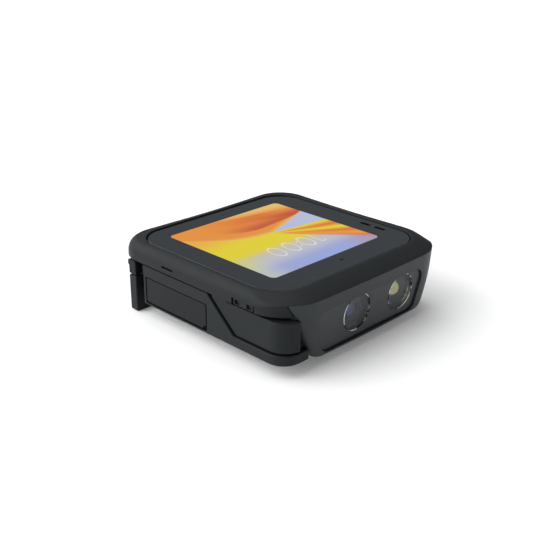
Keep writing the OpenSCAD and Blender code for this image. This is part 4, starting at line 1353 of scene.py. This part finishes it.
# %% Make the finishes and give them to every piece
FINISHES = {
    "shell": moulded("black_grained_plastic", (0.0110, 0.0134, 0.0148), 0.50, 0.15),
    # The nose cover is the same black grained plastic as the shell. Its base colour, over twice as light,
    # is painted light on the front face, which the studio lights leave dim.
    "nose_plastic": moulded("nose_grained_plastic_painted_light", (0.029, 0.0340, 0.0370), 0.46, 0.25),
    "panel_plastic": satin("panel_satin_plastic", (0.0075, 0.0092, 0.0102), 0.42, 0.15),
    "dark_trim": satin("dark_satin_trim", (0.036, 0.0425, 0.0470), 0.32, 0.25),
    "key_plastic": rubber("key_soft_touch", (0.016, 0.018, 0.020)),
    "pad_rubber": rubber("pad_rubber_black", (0.014, 0.015, 0.016)),
    "cover_glass": screen_glass("printed_screen_glass", 0.8),
    "display": screen_glass("lit_display_panel", 0.8),
    "window_clear": clear_glass("window_clear_glass", (0.060, 0.069, 0.076), 0.42),
    "lens": lens_painted_sheen("lens_glass_painted_sheen"),
    "bright_ring": ring_painted_glints("turned_ring_painted_glints"),
    "reflector": metal("polished_lamp_dish", (0.14, 0.14, 0.13), 0.22),
    "lamp_yellow": lamp_phosphor("lamp_yellow_phosphor"),
    "steel": metal("pressed_steel", (0.55, 0.56, 0.57), 0.26, 0.8),
    "brass": metal("gilt_brass", (0.72, 0.50, 0.18), 0.22, 0.3),
    "board": lacquer("board_green_lacquer", (0.012, 0.085, 0.045), (0.05, 0.20, 0.10), 0.9),
    "cell_wrap": lacquer("cell_blue_wrap", (0.03, 0.07, 0.20), (0.06, 0.12, 0.30), 3.0),
}


def dress(piece, slot):
    """Gives a piece one finish."""
    piece.data.materials.clear()
    piece.data.materials.append(FINISHES[slot])


for piece in PIECES:
    dress(piece, piece["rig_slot"])
for part in frame["record"]["subparts"]:
    dress(frame["nodes"][part["node"]], part["material_slot"])
print(len(PIECES), "new pieces and", len(frame["nodes"]), "frame nodes have a finish")

# %% [markdown]
# ## Studio
#
# A pale floor and three soft lights. A dark, satin product is shown by what it
# reflects, so all lights are very broad: one from high behind, one from the
# left that runs along the side, and a weak, low one for the nose. The
# surroundings are a dim pale grey, so that the brow and the front corners stay
# darker than the sides.

# %% Floor, lights and surroundings
scene = bpy.context.scene
scene.view_settings.view_transform = "Standard"
world = bpy.data.worlds.new("studio")
scene.world = world
world.use_nodes = True
world.node_tree.nodes["Background"].inputs["Color"].default_value = (0.93, 0.95, 1.0, 1.0)
world.node_tree.nodes["Background"].inputs["Strength"].default_value = 0.13

floor_size = 3000.0
sheet_corners = np.array([(-1, -1, 0), (1, -1, 0), (1, 1, 0), (-1, 1, 0)], float) * floor_size
floor_mesh = bpy.data.meshes.new("studio_floor")
floor_mesh.from_pydata((sheet_corners * MM).tolist(), [], [(0, 1, 2, 3)])
studio_floor = link("studio_floor", floor_mesh)
floor_finish = Finish("floor_paper")
paper = floor_finish.mix(floor_finish.noise(60.0), (0.90, 0.90, 0.90), (0.92, 0.92, 0.92))
floor_finish.feed(Base_Color=paper, Roughness=0.9, Emission_Color=(1.0, 1.0, 1.0), Emission_Strength=0.12)
floor_mesh.materials.append(floor_finish.material)


def soft_sun(name, towards, power, spread):
    """A far, wide light that shines from a direction and is seen over the spread, in degrees."""
    sun = bpy.data.lights.new(name, "SUN")
    sun.energy, sun.angle = power, math.radians(spread)
    lamp = bpy.data.objects.new(name, sun)
    lamp.rotation_euler = Vector(towards).to_track_quat("Z", "Y").to_euler()
    scene.collection.objects.link(lamp)


soft_sun("top_light", (-0.2, 0.6, 0.9), 2.7, 90)
soft_sun("fill_light", (0.8, -0.55, 0.25), 0.55, 80)
soft_sun("key_light", (-0.85, 0.45, 0.35), 2.8, 70)
